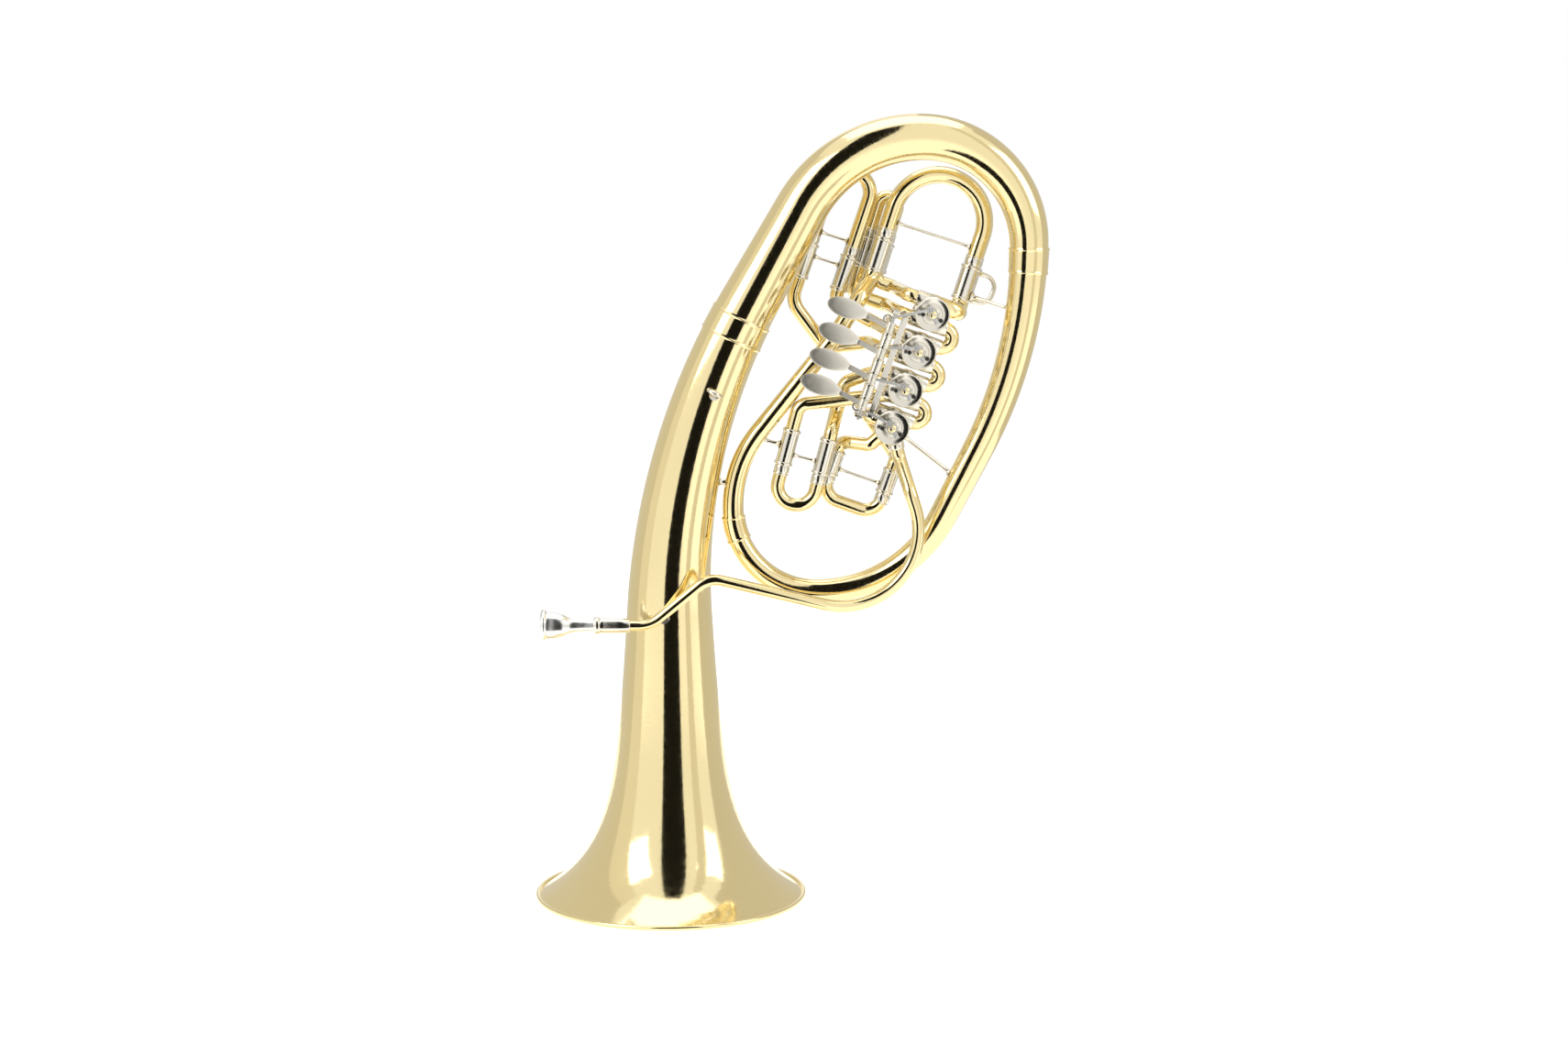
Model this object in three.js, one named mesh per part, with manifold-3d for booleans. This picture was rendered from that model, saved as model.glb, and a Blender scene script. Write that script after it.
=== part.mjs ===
// Rotary valve tenor horn, oval form, standing on its bell. Millimetres, +Z up.
// The main oval lies in the plane y = 0, the levers are on the -Y side, the bell axis is x = 0
// until the last lines, which move the origin to the middle of the footprint.
import * as THREE from 'three';
import { mergeVertices } from 'three/addons/utils/BufferGeometryUtils.js';
import Module from 'manifold-3d';

const wasm = await Module();
wasm.setup();

// ---------------------------------------------------------------- driving dimensions
const BELL_RADIUS = 127.5; // mouth of the bell, over its bead
const FIT = 0.3; // running and soldering clearance between two pieces
const BELL_WALL = 1.2; // hammered bell and stem
const WALL = 0.6; // sheet of the bows and the branch
const TUBE_WALL = 0.6; // drawn tubes

const STEM_STRAIGHT = 268; // bell mouth to the start of the stem's lean
const STEM_LEAN = 29; // degrees from upright at the top bow
const STEM_BEND = 600;
const OVAL_TOP = 708.8; // centre line of the top bow
const OVAL_RIGHT = 331; // centre line of the branch
const OVAL_FOOT = 289.5; // centre line of the bottom bow
const LOOP_LEFT = 59.5; // centre line of the return loop beside the stem
const BELL_JOINT = 545; // distances along the bore from the bell mouth
const BRANCH_JOINT = 972;
const FERRULE_LENGTH = 24;
const FERRULE_WALL = 1;

const ROW_LEAN = 19.3; // lean of the valve row
const ROW_START = [205.8, 0, 444]; // axis of valve 1
const VALVE_PITCH = 36.8;
const VALVE_COUNT = 4;
const CASING_RADIUS = 16;
const CASING_WALL = 1.7;
const CASING_FRONT = -18; // y of the front plate's face
const CASING_REAR = 16;
const FRONT_PLATE = 3;
const SHAFT_RADIUS = 2.8;
const PORT_OFFSET = 9.2; // ports sit this far above and below the valve's axis

const VALVE_TUBE = 6.5; // outer radius of the valve tubing
const MAIN_TUBE = 8; // outer radius of the main tubing round the tuning slide
const SLEEVE_WALL = 0.8;

const CRANK_RADIUS = 5.5;
const LEVER_ARM = 20;
const AXLE_Y = -46;
const AXLE_U = -34; // across the row, from the valves' axes
const AXLE_RADIUS = 1.6;
const HUB_RADIUS = 4.2;
const HUB_LENGTH = 10;
const LEVER_PITCH = 24.5;
const FIRST_LEVER = 14; // along the row
const PADDLE_REACH = 41; // from the axle to the middle of the paddle
const PADDLE_LENGTH = 40;
const PADDLE_WIDTH = 18;
const STOP_ARM_Y = -22.5;
const STOP_ARM_THICK = 2.2;
const LINK_Y = -27.2;
const LINK_THICK = 2.4;
const PIN_RADIUS = 1.3;
const LINK_PLAY = 1.3; // room in the link's lever eye, where the closed linkage is open

const LEADPIPE_START = 4.6; // outer radius at the receiver
const LEADPIPE_END = 6.4; // outer radius at valve 1
const MOUTHPIPE_Y = -52;
const MOUTHPIPE_Z = 266;
const RECEIVER_END = -34;
const RECEIVER_LENGTH = 33;
const RECEIVER_RADIUS = 7.4;
const MOUTHPIECE_RIM = 15;
const MOUTHPIECE_LENGTH = 68;
const SHANK_DEPTH = 24; // of the mouthpiece inside its receiver

const BODY_SIDES = 14; // facets of the casings, the bows and the small tubes
const BOW_SIDES = 12;
const TUBE_SIDES = 8;
const SMALL_SIDES = 8; // of hubs, pins and eyes
const LONGEST_CHORD = 62; // of an arc's facets along a route

// ---------------------------------------------------------------- finishes
const finish = (color, roughness, metalness = 1) =>
  new THREE.MeshStandardMaterial({ color, roughness, metalness });
const BRASS = finish(0xd9b45a, 0.18);
const NICKEL = finish(0xcfcabb, 0.22);
const SILVER = finish(0xd8d8d8, 0.15);
const STEEL = finish(0x8f9194, 0.3);

const root = new THREE.Group();
const valveRow = new THREE.Group();
valveRow.position.set(...ROW_START);
valveRow.rotation.y = THREE.MathUtils.degToRad(ROW_LEAN);
root.add(valveRow);

// ---------------------------------------------------------------- solids
function solidOf(geometry) {
  const bare = geometry.index ? geometry.clone() : geometry;
  bare.deleteAttribute('normal');
  bare.deleteAttribute('uv');
  const merged = mergeVertices(bare, 1e-4);
  const triVerts = [];
  const index = merged.index.array;
  for (let i = 0; i < index.length; i += 3) {
    const [a, b, c] = [index[i], index[i + 1], index[i + 2]];
    if (a !== b && b !== c && a !== c) triVerts.push(a, b, c);
  }
  const vertProperties = new Float32Array(merged.attributes.position.array);
  return new wasm.Manifold(
    new wasm.Mesh({ numProp: 3, vertProperties, triVerts: new Uint32Array(triVerts) }),
  );
}

function join(...solids) {
  return solids.reduce((whole, solid) => whole.add(solid));
}

function addPiece(name, solid, material, parent = root) {
  const { vertProperties, triVerts } = solid.getMesh();
  const geometry = new THREE.BufferGeometry();
  geometry.setAttribute('position', new THREE.BufferAttribute(vertProperties, 3));
  geometry.setIndex(new THREE.BufferAttribute(triVerts, 1));
  geometry.computeVertexNormals();
  const mesh = new THREE.Mesh(geometry, material);
  mesh.name = name;
  parent.add(mesh);
  return mesh;
}

const vec = (p) => new THREE.Vector3(...p);
const toWorld = (p) => valveRow.localToWorld(vec(p)).toArray();
valveRow.updateMatrixWorld(true);

// A rod from one point to another, with flat ends.
function rod(from, to, radius, sides = TUBE_SIDES) {
  const start = vec(from);
  const axis = vec(to).sub(start);
  const geometry = new THREE.CylinderGeometry(radius, radius, axis.length(), sides);
  geometry.translate(0, axis.length() / 2, 0);
  geometry.applyQuaternion(
    new THREE.Quaternion().setFromUnitVectors(new THREE.Vector3(0, 1, 0), axis.clone().normalize()),
  );
  geometry.translate(...start.toArray());
  return solidOf(geometry);
}

// A body turned about the Y axis, from profile points [radius, y] listed either way round.
function turned(profile, sides = BODY_SIDES) {
  const area = profile.reduce((sum, [r, y], i) => {
    const [nextR, nextY] = profile[(i + 1) % profile.length];
    return sum + r * nextY - nextR * y;
  }, 0);
  const ordered = area > 0 ? profile : [...profile].reverse();
  return solidOf(new THREE.LatheGeometry(ordered.map(([r, y]) => new THREE.Vector2(r, y)), sides));
}

function box(size, centre) {
  return solidOf(new THREE.BoxGeometry(...size).translate(...centre));
}

// ---------------------------------------------------------------- routes
// A polyline through corners [[x, y, z], bendRadius]: every corner with a radius becomes an arc.
function roundedRoute(corners, step = 22.5) {
  const points = [vec(corners[0][0])];
  for (let i = 1; i < corners.length - 1; i += 1) {
    const corner = vec(corners[i][0]);
    const inward = corner.clone().sub(vec(corners[i - 1][0])).normalize();
    const outward = vec(corners[i + 1][0]).sub(corner).normalize();
    const turn = inward.angleTo(outward);
    const radius = corners[i][1];
    const start = corner.clone().addScaledVector(inward, -radius * Math.tan(turn / 2));
    const side = outward.clone().addScaledVector(inward, -outward.dot(inward)).normalize();
    const centre = start.clone().addScaledVector(side, radius);
    const pieces = Math.ceil(Math.max(turn / THREE.MathUtils.degToRad(step), (turn * radius) / LONGEST_CHORD));
    for (let k = 0; k <= pieces; k += 1) {
      const angle = (turn * k) / pieces;
      points.push(
        centre.clone()
          .addScaledVector(side, -radius * Math.cos(angle))
          .addScaledVector(inward, radius * Math.sin(angle)),
      );
    }
  }
  points.push(vec(corners.at(-1)[0]));
  return new Route(points);
}

class Route {
  constructor(points) {
    this.points = points;
    this.lengths = [0];
    points.slice(1).forEach((p, i) => this.lengths.push(this.lengths[i] + p.distanceTo(points[i])));
    this.length = this.lengths.at(-1);
    const directions = points.slice(1).map((p, i) => p.clone().sub(points[i]).normalize());
    this.directions = directions;
    const first = Math.abs(directions[0].y) < 0.9 ? new THREE.Vector3(0, 1, 0) : new THREE.Vector3(1, 0, 0);
    this.normals = [];
    let normal = first.addScaledVector(directions[0], -first.dot(directions[0])).normalize();
    directions.forEach((d, i) => {
      if (i > 0) {
        const turn = new THREE.Quaternion().setFromUnitVectors(directions[i - 1], d);
        normal = normal.clone().applyQuaternion(turn);
      }
      this.normals.push(normal);
    });
  }

  // Position, tangent and side vectors at a distance along the route; it runs on straight past its ends.
  at(s) {
    const last = this.directions.length - 1;
    let i = this.lengths.findIndex((l) => l > s + 1e-6) - 1;
    if (i < -1) i = last;
    i = Math.max(0, Math.min(last, i));
    const position = this.points[i].clone().addScaledVector(this.directions[i], s - this.lengths[i]);
    const tangent = this.directions[i].clone();
    const normal = this.normals[i].clone();
    if (i > 0 && Math.abs(s - this.lengths[i]) < 1e-5) {
      tangent.add(this.directions[i - 1]).normalize();
      normal.add(this.normals[i - 1]);
      normal.addScaledVector(tangent, -normal.dot(tangent)).normalize();
    }
    return { position, tangent, normal, binormal: normal.clone().cross(tangent) };
  }

  stations(from, to, extra = []) {
    const inside = [...this.lengths, ...extra].filter((s) => s > from + 0.5 && s < to - 0.5);
    return [from, ...inside.sort((a, b) => a - b), to]
      .filter((s, i, all) => i === 0 || s - all[i - 1] > 0.05);
  }
}

// A turned profile [radius, distance] whose axis is bent along a route.
function bent(route, profile, sides) {
  const points = profile.map(([r, s]) => new THREE.Vector2(r, s));
  const geometry = new THREE.LatheGeometry(points, sides);
  const position = geometry.attributes.position;
  for (let i = 0; i < position.count; i += 1) {
    const frame = route.at(position.getY(i));
    const out = frame.position
      .addScaledVector(frame.normal, position.getX(i))
      .addScaledVector(frame.binormal, position.getZ(i));
    position.setXYZ(i, ...out.toArray());
  }
  return solidOf(geometry);
}

// The solid inside a radius that follows the route between two distances.
function core(route, from, to, radiusAt, sides, extra = []) {
  const stations = route.stations(from, to, extra);
  const profile = stations.map((s) => [radiusAt(s), s]);
  return bent(route, [[0, from], ...profile, [0, to]], sides);
}

// A hollow tube: the bore runs on past both ends, so that it is open.
function hollow(route, from, to, radiusAt, wall, sides, extra = []) {
  const shell = core(route, from, to, radiusAt, sides, extra);
  const bore = core(route, from - 1, to + 1, (s) => radiusAt(s) - wall, sides, [from, to, ...extra]);
  return shell.subtract(bore);
}

// The smallest bore that a turned piece of this radius slides in, when both have flat facets.
const boreFor = (radius, sides) => (radius + FIT) / Math.cos(Math.PI / sides);

// ---------------------------------------------------------------- conical body
const leanTurn = THREE.MathUtils.degToRad(STEM_LEAN);
const stemCorner = STEM_STRAIGHT + STEM_BEND * Math.tan(leanTurn / 2);
const topLeft = (OVAL_TOP - stemCorner) * Math.tan(leanTurn);
const loopCorner = 408.1; // height at which the return loop starts to lean
const loopTop = [150.5, 0, 522.6]; // where the diagonal turns up to the tuning slide
const returnBack = [176, 12, 561]; // and passes behind the levers

// Slides: lean of the legs, mouth of the left sleeve, distance between the legs, reach of the bow past
// the mouths, its bend where it isn't a half circle, way out (1 up, -1 down), length of the sleeves
// and radius of the tube where it is the main one.
const SLIDES = {
  valve_1: { lean: 19.3, mouth: [148.5, 16, 396.8], spread: 54, reach: 5, bend: 16, up: -1, sleeve: 24 },
  valve_2: { lean: 15, mouth: [105.5, 0, 408], spread: 35.5, reach: 16, up: -1, sleeve: 34 },
  valve_3: { lean: 18.5, mouth: [131.5, 31, 611.7], spread: 38, reach: 55, up: 1, sleeve: 34 },
  valve_4: { lean: 17, mouth: [184.8, 48, 616.1], spread: 18, reach: 32, up: 1, sleeve: 28 },
  main: { lean: 18, mouth: [199.5, 31, 616.7], spread: 86, reach: 29, up: 1, sleeve: 33, tube: MAIN_TUBE },
};
const tubeOf = (slide) => slide.tube ?? VALVE_TUBE;

const lean = (degrees) => [Math.sin(THREE.MathUtils.degToRad(degrees)), 0, Math.cos(THREE.MathUtils.degToRad(degrees))];
const across = (degrees) => [Math.cos(THREE.MathUtils.degToRad(degrees)), 0, -Math.sin(THREE.MathUtils.degToRad(degrees))];
const along = (p, d, t) => p.map((c, i) => c + d[i] * t);

// The way out of a slide's sleeves and the middles of their two mouths.
function legsOf(slide) {
  const out = lean(slide.lean).map((c) => c * slide.up);
  const left = slide.mouth;
  const right = along(left, across(slide.lean), slide.spread);
  return { out, left, right };
}
const mainLegs = legsOf(SLIDES.main);

const bodyRoute = roundedRoute([
  [[0, 0, 0]],
  [[0, 0, stemCorner], STEM_BEND],
  [[topLeft, 0, OVAL_TOP], 125],
  [[OVAL_RIGHT, 0, OVAL_TOP], 98],
  [[OVAL_RIGHT, 0, 511], 415],
  [[218.1, 0, OVAL_FOOT], 130],
  [[LOOP_LEFT, 0, OVAL_FOOT], 78],
  [[LOOP_LEFT, 0, loopCorner], 110],
  [loopTop, 20],
  [returnBack, 20],
  [along(mainLegs.left, mainLegs.out, -SLIDES.main.sleeve - 7), 16],
  [mainLegs.left],
], 20);

// The bore's outer radius: a long taper, a throat and a flare, each one dying away from the bell.
const flareReach = BELL_RADIUS - 50 - 19.3 + 1.6;
function bodyRadius(s) {
  return 50 * Math.exp(-s / 1010) + 19.3 * Math.exp(-s / 149) + flareReach * Math.exp(-s / 38) - 1.6;
}

const BEAD_HEIGHT = 4;
const bellRings = [9, 16, 26, 40, 60, 90, 130, 190];
const LOOP_JOINT = 1470;

function ferrule(name, middle, sides) {
  const from = middle - FERRULE_LENGTH / 2;
  const to = middle + FERRULE_LENGTH / 2;
  const joints = [middle];
  const outer = core(bodyRoute, from, to, (s) => bodyRadius(s) + FIT + FERRULE_WALL, sides, joints);
  const inner = core(bodyRoute, from - 1, to + 1, (s) => bodyRadius(s) + FIT, sides, [from, to, ...joints]);
  addPiece(name, outer.subtract(inner), NICKEL);
}

function section(name, from, to, sides, wall, extra = []) {
  const ends = [BELL_JOINT, BRANCH_JOINT, LOOP_JOINT]
    .flatMap((s) => [s, s - FERRULE_LENGTH / 2, s + FERRULE_LENGTH / 2]);
  addPiece(name, hollow(bodyRoute, from, to, bodyRadius, wall, sides, [...extra, ...ends]), BRASS);
}

function makeBody() {
  const inner = bodyRadius(BEAD_HEIGHT + FIT) - 4;
  const bead = [
    [inner, 0], [BELL_RADIUS - 1.5, 0], [BELL_RADIUS, 1.5],
    [BELL_RADIUS, BEAD_HEIGHT - 1.2], [BELL_RADIUS - 1.5, BEAD_HEIGHT], [inner, BEAD_HEIGHT], [inner, 0],
  ];
  const ring = turned(bead, 24).rotate([90, 0, 0]);
  addPiece('bell_rim_bead', ring, BRASS);
  section('bell', BEAD_HEIGHT + FIT, BELL_JOINT - FIT / 2, 24, BELL_WALL, bellRings);
  section('top_bow', BELL_JOINT + FIT / 2, BRANCH_JOINT - FIT / 2, BOW_SIDES, WALL);
  section('branch', BRANCH_JOINT + FIT / 2, LOOP_JOINT - FIT / 2, BOW_SIDES, WALL);
  ferrule('bell_ferrule', BELL_JOINT, 24);
  ferrule('branch_ferrule', BRANCH_JOINT, BOW_SIDES);
  ferrule('loop_ferrule', LOOP_JOINT, BOW_SIDES);
}
makeBody();

// ---------------------------------------------------------------- rotary valves
const valveAt = (k) => k * VALVE_PITCH;
const portW = (k, side) => valveAt(k) + side * PORT_OFFSET;
const row = (u, y, w) => toWorld([u, y, w]); // u across the row, w along it
const STUB = 10; // tubes start this far from a valve's axis, inside the casing

// A cylinder round valve k's axis, in the row's own coordinates.
function valveCylinder(k, radius, from, to, sides = BODY_SIDES) {
  return turned([[0, from], [radius, from], [radius, to], [0, to]], sides).translate([0, 0, valveAt(k)]);
}

const STOP_POST_RADIUS = 2;
const STOP_TAIL = 9; // reach of the stop arm's tail
const STOP_POST_ANGLE = 107.4; // degrees from straight up the row, on both sides
const inletStart = [213.5, 0, 414]; // where the leadpipe turns into valve 1

function makeCasing(k) {
  const bore = boreFor(CASING_RADIUS - CASING_WALL - FIT, BODY_SIDES);
  const shaftHole = boreFor(SHAFT_RADIUS, BODY_SIDES);
  const inside = CASING_FRONT + FRONT_PLATE;
  const shell = turned([
    [shaftHole, CASING_FRONT], [CASING_RADIUS, CASING_FRONT], [CASING_RADIUS, CASING_REAR],
    [bore, CASING_REAR], [bore, inside], [shaftHole, inside], [shaftHole, CASING_FRONT],
  ]);
  const angle = THREE.MathUtils.degToRad(STOP_POST_ANGLE);
  const posts = [-1, 1].map((side) => {
    const u = side * STOP_TAIL * Math.sin(angle);
    const w = STOP_TAIL * Math.cos(angle);
    return rod([u, CASING_FRONT + 0.5, w], [u, STOP_ARM_Y - 1.5, w], STOP_POST_RADIUS, SMALL_SIDES);
  });
  const solid = join(shell, ...posts).translate([0, 0, valveAt(k)]).subtract(allBores);
  addPiece(`valve_${k + 1}_casing`, solid, NICKEL, valveRow);
}

const CAP_DEPTH = 5;
const CAP_PIN = 3;
const ROTOR_SCOOP = 9.5; // radius of the two passages cut through a rotor's sides
function makeRearCap(k) {
  const from = CASING_REAR + FIT;
  const spigot = (CASING_RADIUS - CASING_WALL - FIT) - 0.4;
  const pinHole = boreFor(CAP_PIN - 0.4, BODY_SIDES);
  const cap = turned([
    [pinHole, from - 2], [spigot, from - 2], [spigot, from], [CASING_RADIUS + 0.8, from],
    [CASING_RADIUS + 0.8, from + CAP_DEPTH - 1], [CASING_RADIUS - 1, from + CAP_DEPTH],
    [5, from + CAP_DEPTH], [4, from + CAP_DEPTH + 1.2], [0, from + CAP_DEPTH + 1.2],
    [0, from + CAP_DEPTH - 1.5], [pinHole, from + CAP_DEPTH - 1.5], [pinHole, from - 2],
  ]);
  addPiece(`valve_${k + 1}_rear_cap`, cap.translate([0, 0, valveAt(k)]), BRASS, valveRow);
}

// The rotor, its shaft and the screw head that keeps the stop arm on.
function makeRotor(k) {
  const radius = CASING_RADIUS - CASING_WALL - FIT;
  const front = CASING_FRONT + FRONT_PLATE + FIT;
  const rear = CASING_REAR - 2;
  const headFrom = STOP_ARM_Y - STOP_ARM_THICK / 2 - FIT;
  const body = turned([
    [0, headFrom - 1.4], [3.6, headFrom - 1.4], [3.6, headFrom], [SHAFT_RADIUS, headFrom],
    [SHAFT_RADIUS, front], [radius, front], [radius, rear], [CAP_PIN - 0.4, rear],
    [CAP_PIN - 0.4, CASING_REAR + CAP_DEPTH - 2], [0, CASING_REAR + CAP_DEPTH - 2],
  ]);
  const waist = radius + 1.5;
  const scoops = [-1, 1].map((side) => rod([side * waist, 0, -20], [side * waist, 0, 20], ROTOR_SCOOP, 10));
  const rotor = body.subtract(join(...scoops)).translate([0, 0, valveAt(k)]);
  addPiece(`valve_${k + 1}_rotor`, rotor, BRASS, valveRow);
}

const restAngle = THREE.MathUtils.degToRad(-45);
const crankU = CRANK_RADIUS * Math.sin(restAngle);
const crankW = CRANK_RADIUS * Math.cos(restAngle);

function makeStopArm(k) {
  const back = STOP_ARM_Y + STOP_ARM_THICK / 2;
  const front = STOP_ARM_Y - STOP_ARM_THICK / 2;
  const hub = turned([[0, front], [5, front], [5, back], [0, back]], SMALL_SIDES);
  const tail = box([3.4, STOP_ARM_THICK, STOP_TAIL + 1], [0, STOP_ARM_Y, -(STOP_TAIL + 1) / 2]);
  const arm = box([4.4, STOP_ARM_THICK, CRANK_RADIUS], [0, STOP_ARM_Y, CRANK_RADIUS / 2]);
  const lobe = turned([[0, front], [2.8, front], [2.8, back], [0, back]], SMALL_SIDES).translate([0, 0, CRANK_RADIUS]);
  const pin = rod([0, STOP_ARM_Y, CRANK_RADIUS], [0, LINK_Y - LINK_THICK / 2 - 1, CRANK_RADIUS], PIN_RADIUS, SMALL_SIDES);
  const hole = boreFor(SHAFT_RADIUS, SMALL_SIDES);
  const shaft = turned([[0, front - 1], [hole, front - 1], [hole, back + 1], [0, back + 1]], SMALL_SIDES);
  const whole = join(hub, tail, arm, lobe, pin).subtract(shaft);
  const turnedArm = whole.rotate([0, -45, 0]).translate([0, 0, valveAt(k)]);
  addPiece(`valve_${k + 1}_stop_arm`, turnedArm, STEEL, valveRow);
}

// ---------------------------------------------------------------- levers
const leverAt = (k) => FIRST_LEVER + k * LEVER_PITCH;
const armAt = (k) => leverAt(k) + 0.3 * (valveAt(k) - leverAt(k)); // the short arm leans to its valve
const leverHalf = Math.asin((CRANK_RADIUS * Math.SQRT1_2) / LEVER_ARM);
const tipU = AXLE_U - LEVER_ARM * Math.sin(leverHalf);
const tipY = AXLE_Y + LEVER_ARM * Math.cos(leverHalf);

// The second valve's lower run leaves its port for the top of the left leg in one straight line.
const lowerLeg = legsOf(SLIDES.valve_2);
const lowerRun = [row(-STUB, 0, portW(1, -1)), along(lowerLeg.left, lowerLeg.out, -58)];
function lowerRunAt(u) {
  const [from, to] = lowerRun.map((p) => valveRow.worldToLocal(vec(p)));
  return THREE.MathUtils.mapLinear(u, from.x, to.x, from.z, to.z);
}

// An outline in the (u, w) plane, given thickness along y.
function plate(shape, thickness, y) {
  const geometry = new THREE.ExtrudeGeometry(shape, { depth: thickness, bevelEnabled: false, curveSegments: 4 });
  geometry.rotateX(Math.PI / 2);
  geometry.translate(0, y + thickness / 2, 0);
  return solidOf(geometry);
}

function paddle(k) {
  const w = leverAt(k) + 4;
  const shape = new THREE.Shape();
  const half = PADDLE_WIDTH / 2;
  const round = PADDLE_LENGTH / 2 - half;
  shape.moveTo(round + 12, -3);
  shape.lineTo(round, -half * 0.8);
  shape.quadraticCurveTo(0, -half * 1.1, -round, -half);
  shape.absarc(-round, 0, half, -Math.PI / 2, Math.PI / 2, true);
  shape.quadraticCurveTo(0, half * 1.1, round, half * 0.8);
  shape.lineTo(round + 12, 3);
  shape.closePath();
  return plate(shape, 2, 0).rotate([0, 0, 3]).translate([AXLE_U - PADDLE_REACH, AXLE_Y - 0.5, w]);
}

function makeLever(k) {
  const w = leverAt(k);
  const from = w - HUB_LENGTH / 2;
  const hub = rod([AXLE_U, AXLE_Y, from], [AXLE_U, AXLE_Y, from + HUB_LENGTH], HUB_RADIUS, SMALL_SIDES);
  const hole = boreFor(AXLE_RADIUS, SMALL_SIDES);
  const bore = rod([AXLE_U, AXLE_Y, from - 1], [AXLE_U, AXLE_Y, from + HUB_LENGTH + 1], hole, SMALL_SIDES);
  const arm = box([20, 2.6, 6], [AXLE_U - 11, AXLE_Y, w + 1]);
  const end = [tipU, tipY - 4, armAt(k)];
  const shortArm = rod([AXLE_U - 0.5, AXLE_Y + 2, w], end, 2, SMALL_SIDES);
  const pin = rod([tipU, tipY - 5, armAt(k)], [tipU, tipY + 2.6, armAt(k)], PIN_RADIUS, SMALL_SIDES);
  const whole = join(hub, arm, paddle(k), shortArm, pin).subtract(bore);
  addPiece(`lever_${k + 1}`, whole, NICKEL, valveRow);
}

// The link joins the crank pin to the lever's pin. Its lever eye has room, because the loop is open there.
function makeLink(k) {
  const crank = [crankU, valveAt(k) + crankW];
  const arc = CRANK_RADIUS - crankW;
  const lever = [tipU, armAt(k) - arc / 2];
  const eye = PIN_RADIUS + LINK_PLAY;
  const ring = (radius) => turned([
    [0, LINK_Y - LINK_THICK / 2], [radius, LINK_Y - LINK_THICK / 2],
    [radius, LINK_Y + LINK_THICK / 2], [0, LINK_Y + LINK_THICK / 2],
  ], SMALL_SIDES);
  const hole = (radius) => turned([[0, LINK_Y - 4], [radius, LINK_Y - 4], [radius, LINK_Y + 4], [0, LINK_Y + 4]], SMALL_SIDES);
  const span = Math.hypot(crank[0] - lever[0], crank[1] - lever[1]);
  const angle = Math.atan2(crank[1] - lever[1], crank[0] - lever[0]);
  const bar = box([span - 4, LINK_THICK - 0.6, 2.6], [0, LINK_Y, 0])
    .rotate([0, -THREE.MathUtils.radToDeg(angle), 0])
    .translate([(crank[0] + lever[0]) / 2, 0, (crank[1] + lever[1]) / 2]);
  const at = ([u, w], solid) => solid.translate([u, 0, w]);
  const crankEye = boreFor(PIN_RADIUS, SMALL_SIDES);
  const holes = join(at(crank, hole(crankEye)), at(lever, hole(eye)));
  const whole = join(bar, at(crank, ring(crankEye + 1.5)), at(lever, ring(eye + 1.5))).subtract(holes);
  addPiece(`lever_${k + 1}_link`, whole, STEEL, valveRow);
}

const axleFrom = armAt(0) - 5.4;
const axleTo = armAt(VALVE_COUNT - 1) + 6.4;
const POST_THICK = 3;
const RAIL_Y = -12;
const RAIL_U = -22; // the frame's rail lies on the tubes beside the casings

// The axle carries a spring barrel between every two levers.
function makeAxle() {
  const shaft = rod([AXLE_U, AXLE_Y, axleFrom - POST_THICK - 2], [AXLE_U, AXLE_Y, axleTo + POST_THICK + 2], AXLE_RADIUS, SMALL_SIDES);
  const barrels = Array.from({ length: VALVE_COUNT - 1 }, (_, k) => {
    const from = leverAt(k) + HUB_LENGTH / 2 + FIT * 1.5;
    const to = leverAt(k + 1) - HUB_LENGTH / 2 - FIT * 1.5;
    return rod([AXLE_U, AXLE_Y, from], [AXLE_U, AXLE_Y, to], HUB_RADIUS + 1, 10);
  });
  addPiece('lever_axle', join(shaft, ...barrels), NICKEL, valveRow);
}

function makeLeverFrame() {
  const hole = boreFor(AXLE_RADIUS, SMALL_SIDES);
  const clear = rod([AXLE_U, AXLE_Y, axleFrom - 20], [AXLE_U, AXLE_Y, axleTo + 20], hole, SMALL_SIDES);
  const height = RAIL_Y - AXLE_Y + 5.5;
  const ends = [axleFrom - POST_THICK / 2, axleTo + POST_THICK / 2];
  const posts = ends.map((w) => box([8, height, POST_THICK], [AXLE_U, AXLE_Y - 4 + height / 2, w]));
  const arms = ends.map((w) => box([RAIL_U - AXLE_U + 2, 3, POST_THICK], [(RAIL_U + AXLE_U) / 2, RAIL_Y, w]));
  const rail = box([6, 3, ends[1] - ends[0] + POST_THICK], [RAIL_U, RAIL_Y, (ends[0] + ends[1]) / 2]);
  const footDepth = -VALVE_TUBE - FIT - RAIL_Y;
  const seats = [lowerRunAt(RAIL_U), portW(2, -1), portW(2, 1)];
  const feet = seats.map((w) => box([6, footDepth, 5], [RAIL_U, RAIL_Y + footDepth / 2, w]));
  addPiece('lever_frame', join(...posts, ...arms, rail, ...feet).subtract(clear), NICKEL, valveRow);
}

// ---------------------------------------------------------------- valve tubing and slides
const casingRoom = join(...Array.from(
  { length: VALVE_COUNT },
  (_, k) => valveCylinder(k, CASING_RADIUS + FIT, CASING_FRONT - 1, CASING_REAR + 1),
)).rotate([0, ROW_LEAN, 0]).translate(ROW_START);
const bores = []; // every bore that opens into a casing

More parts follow.
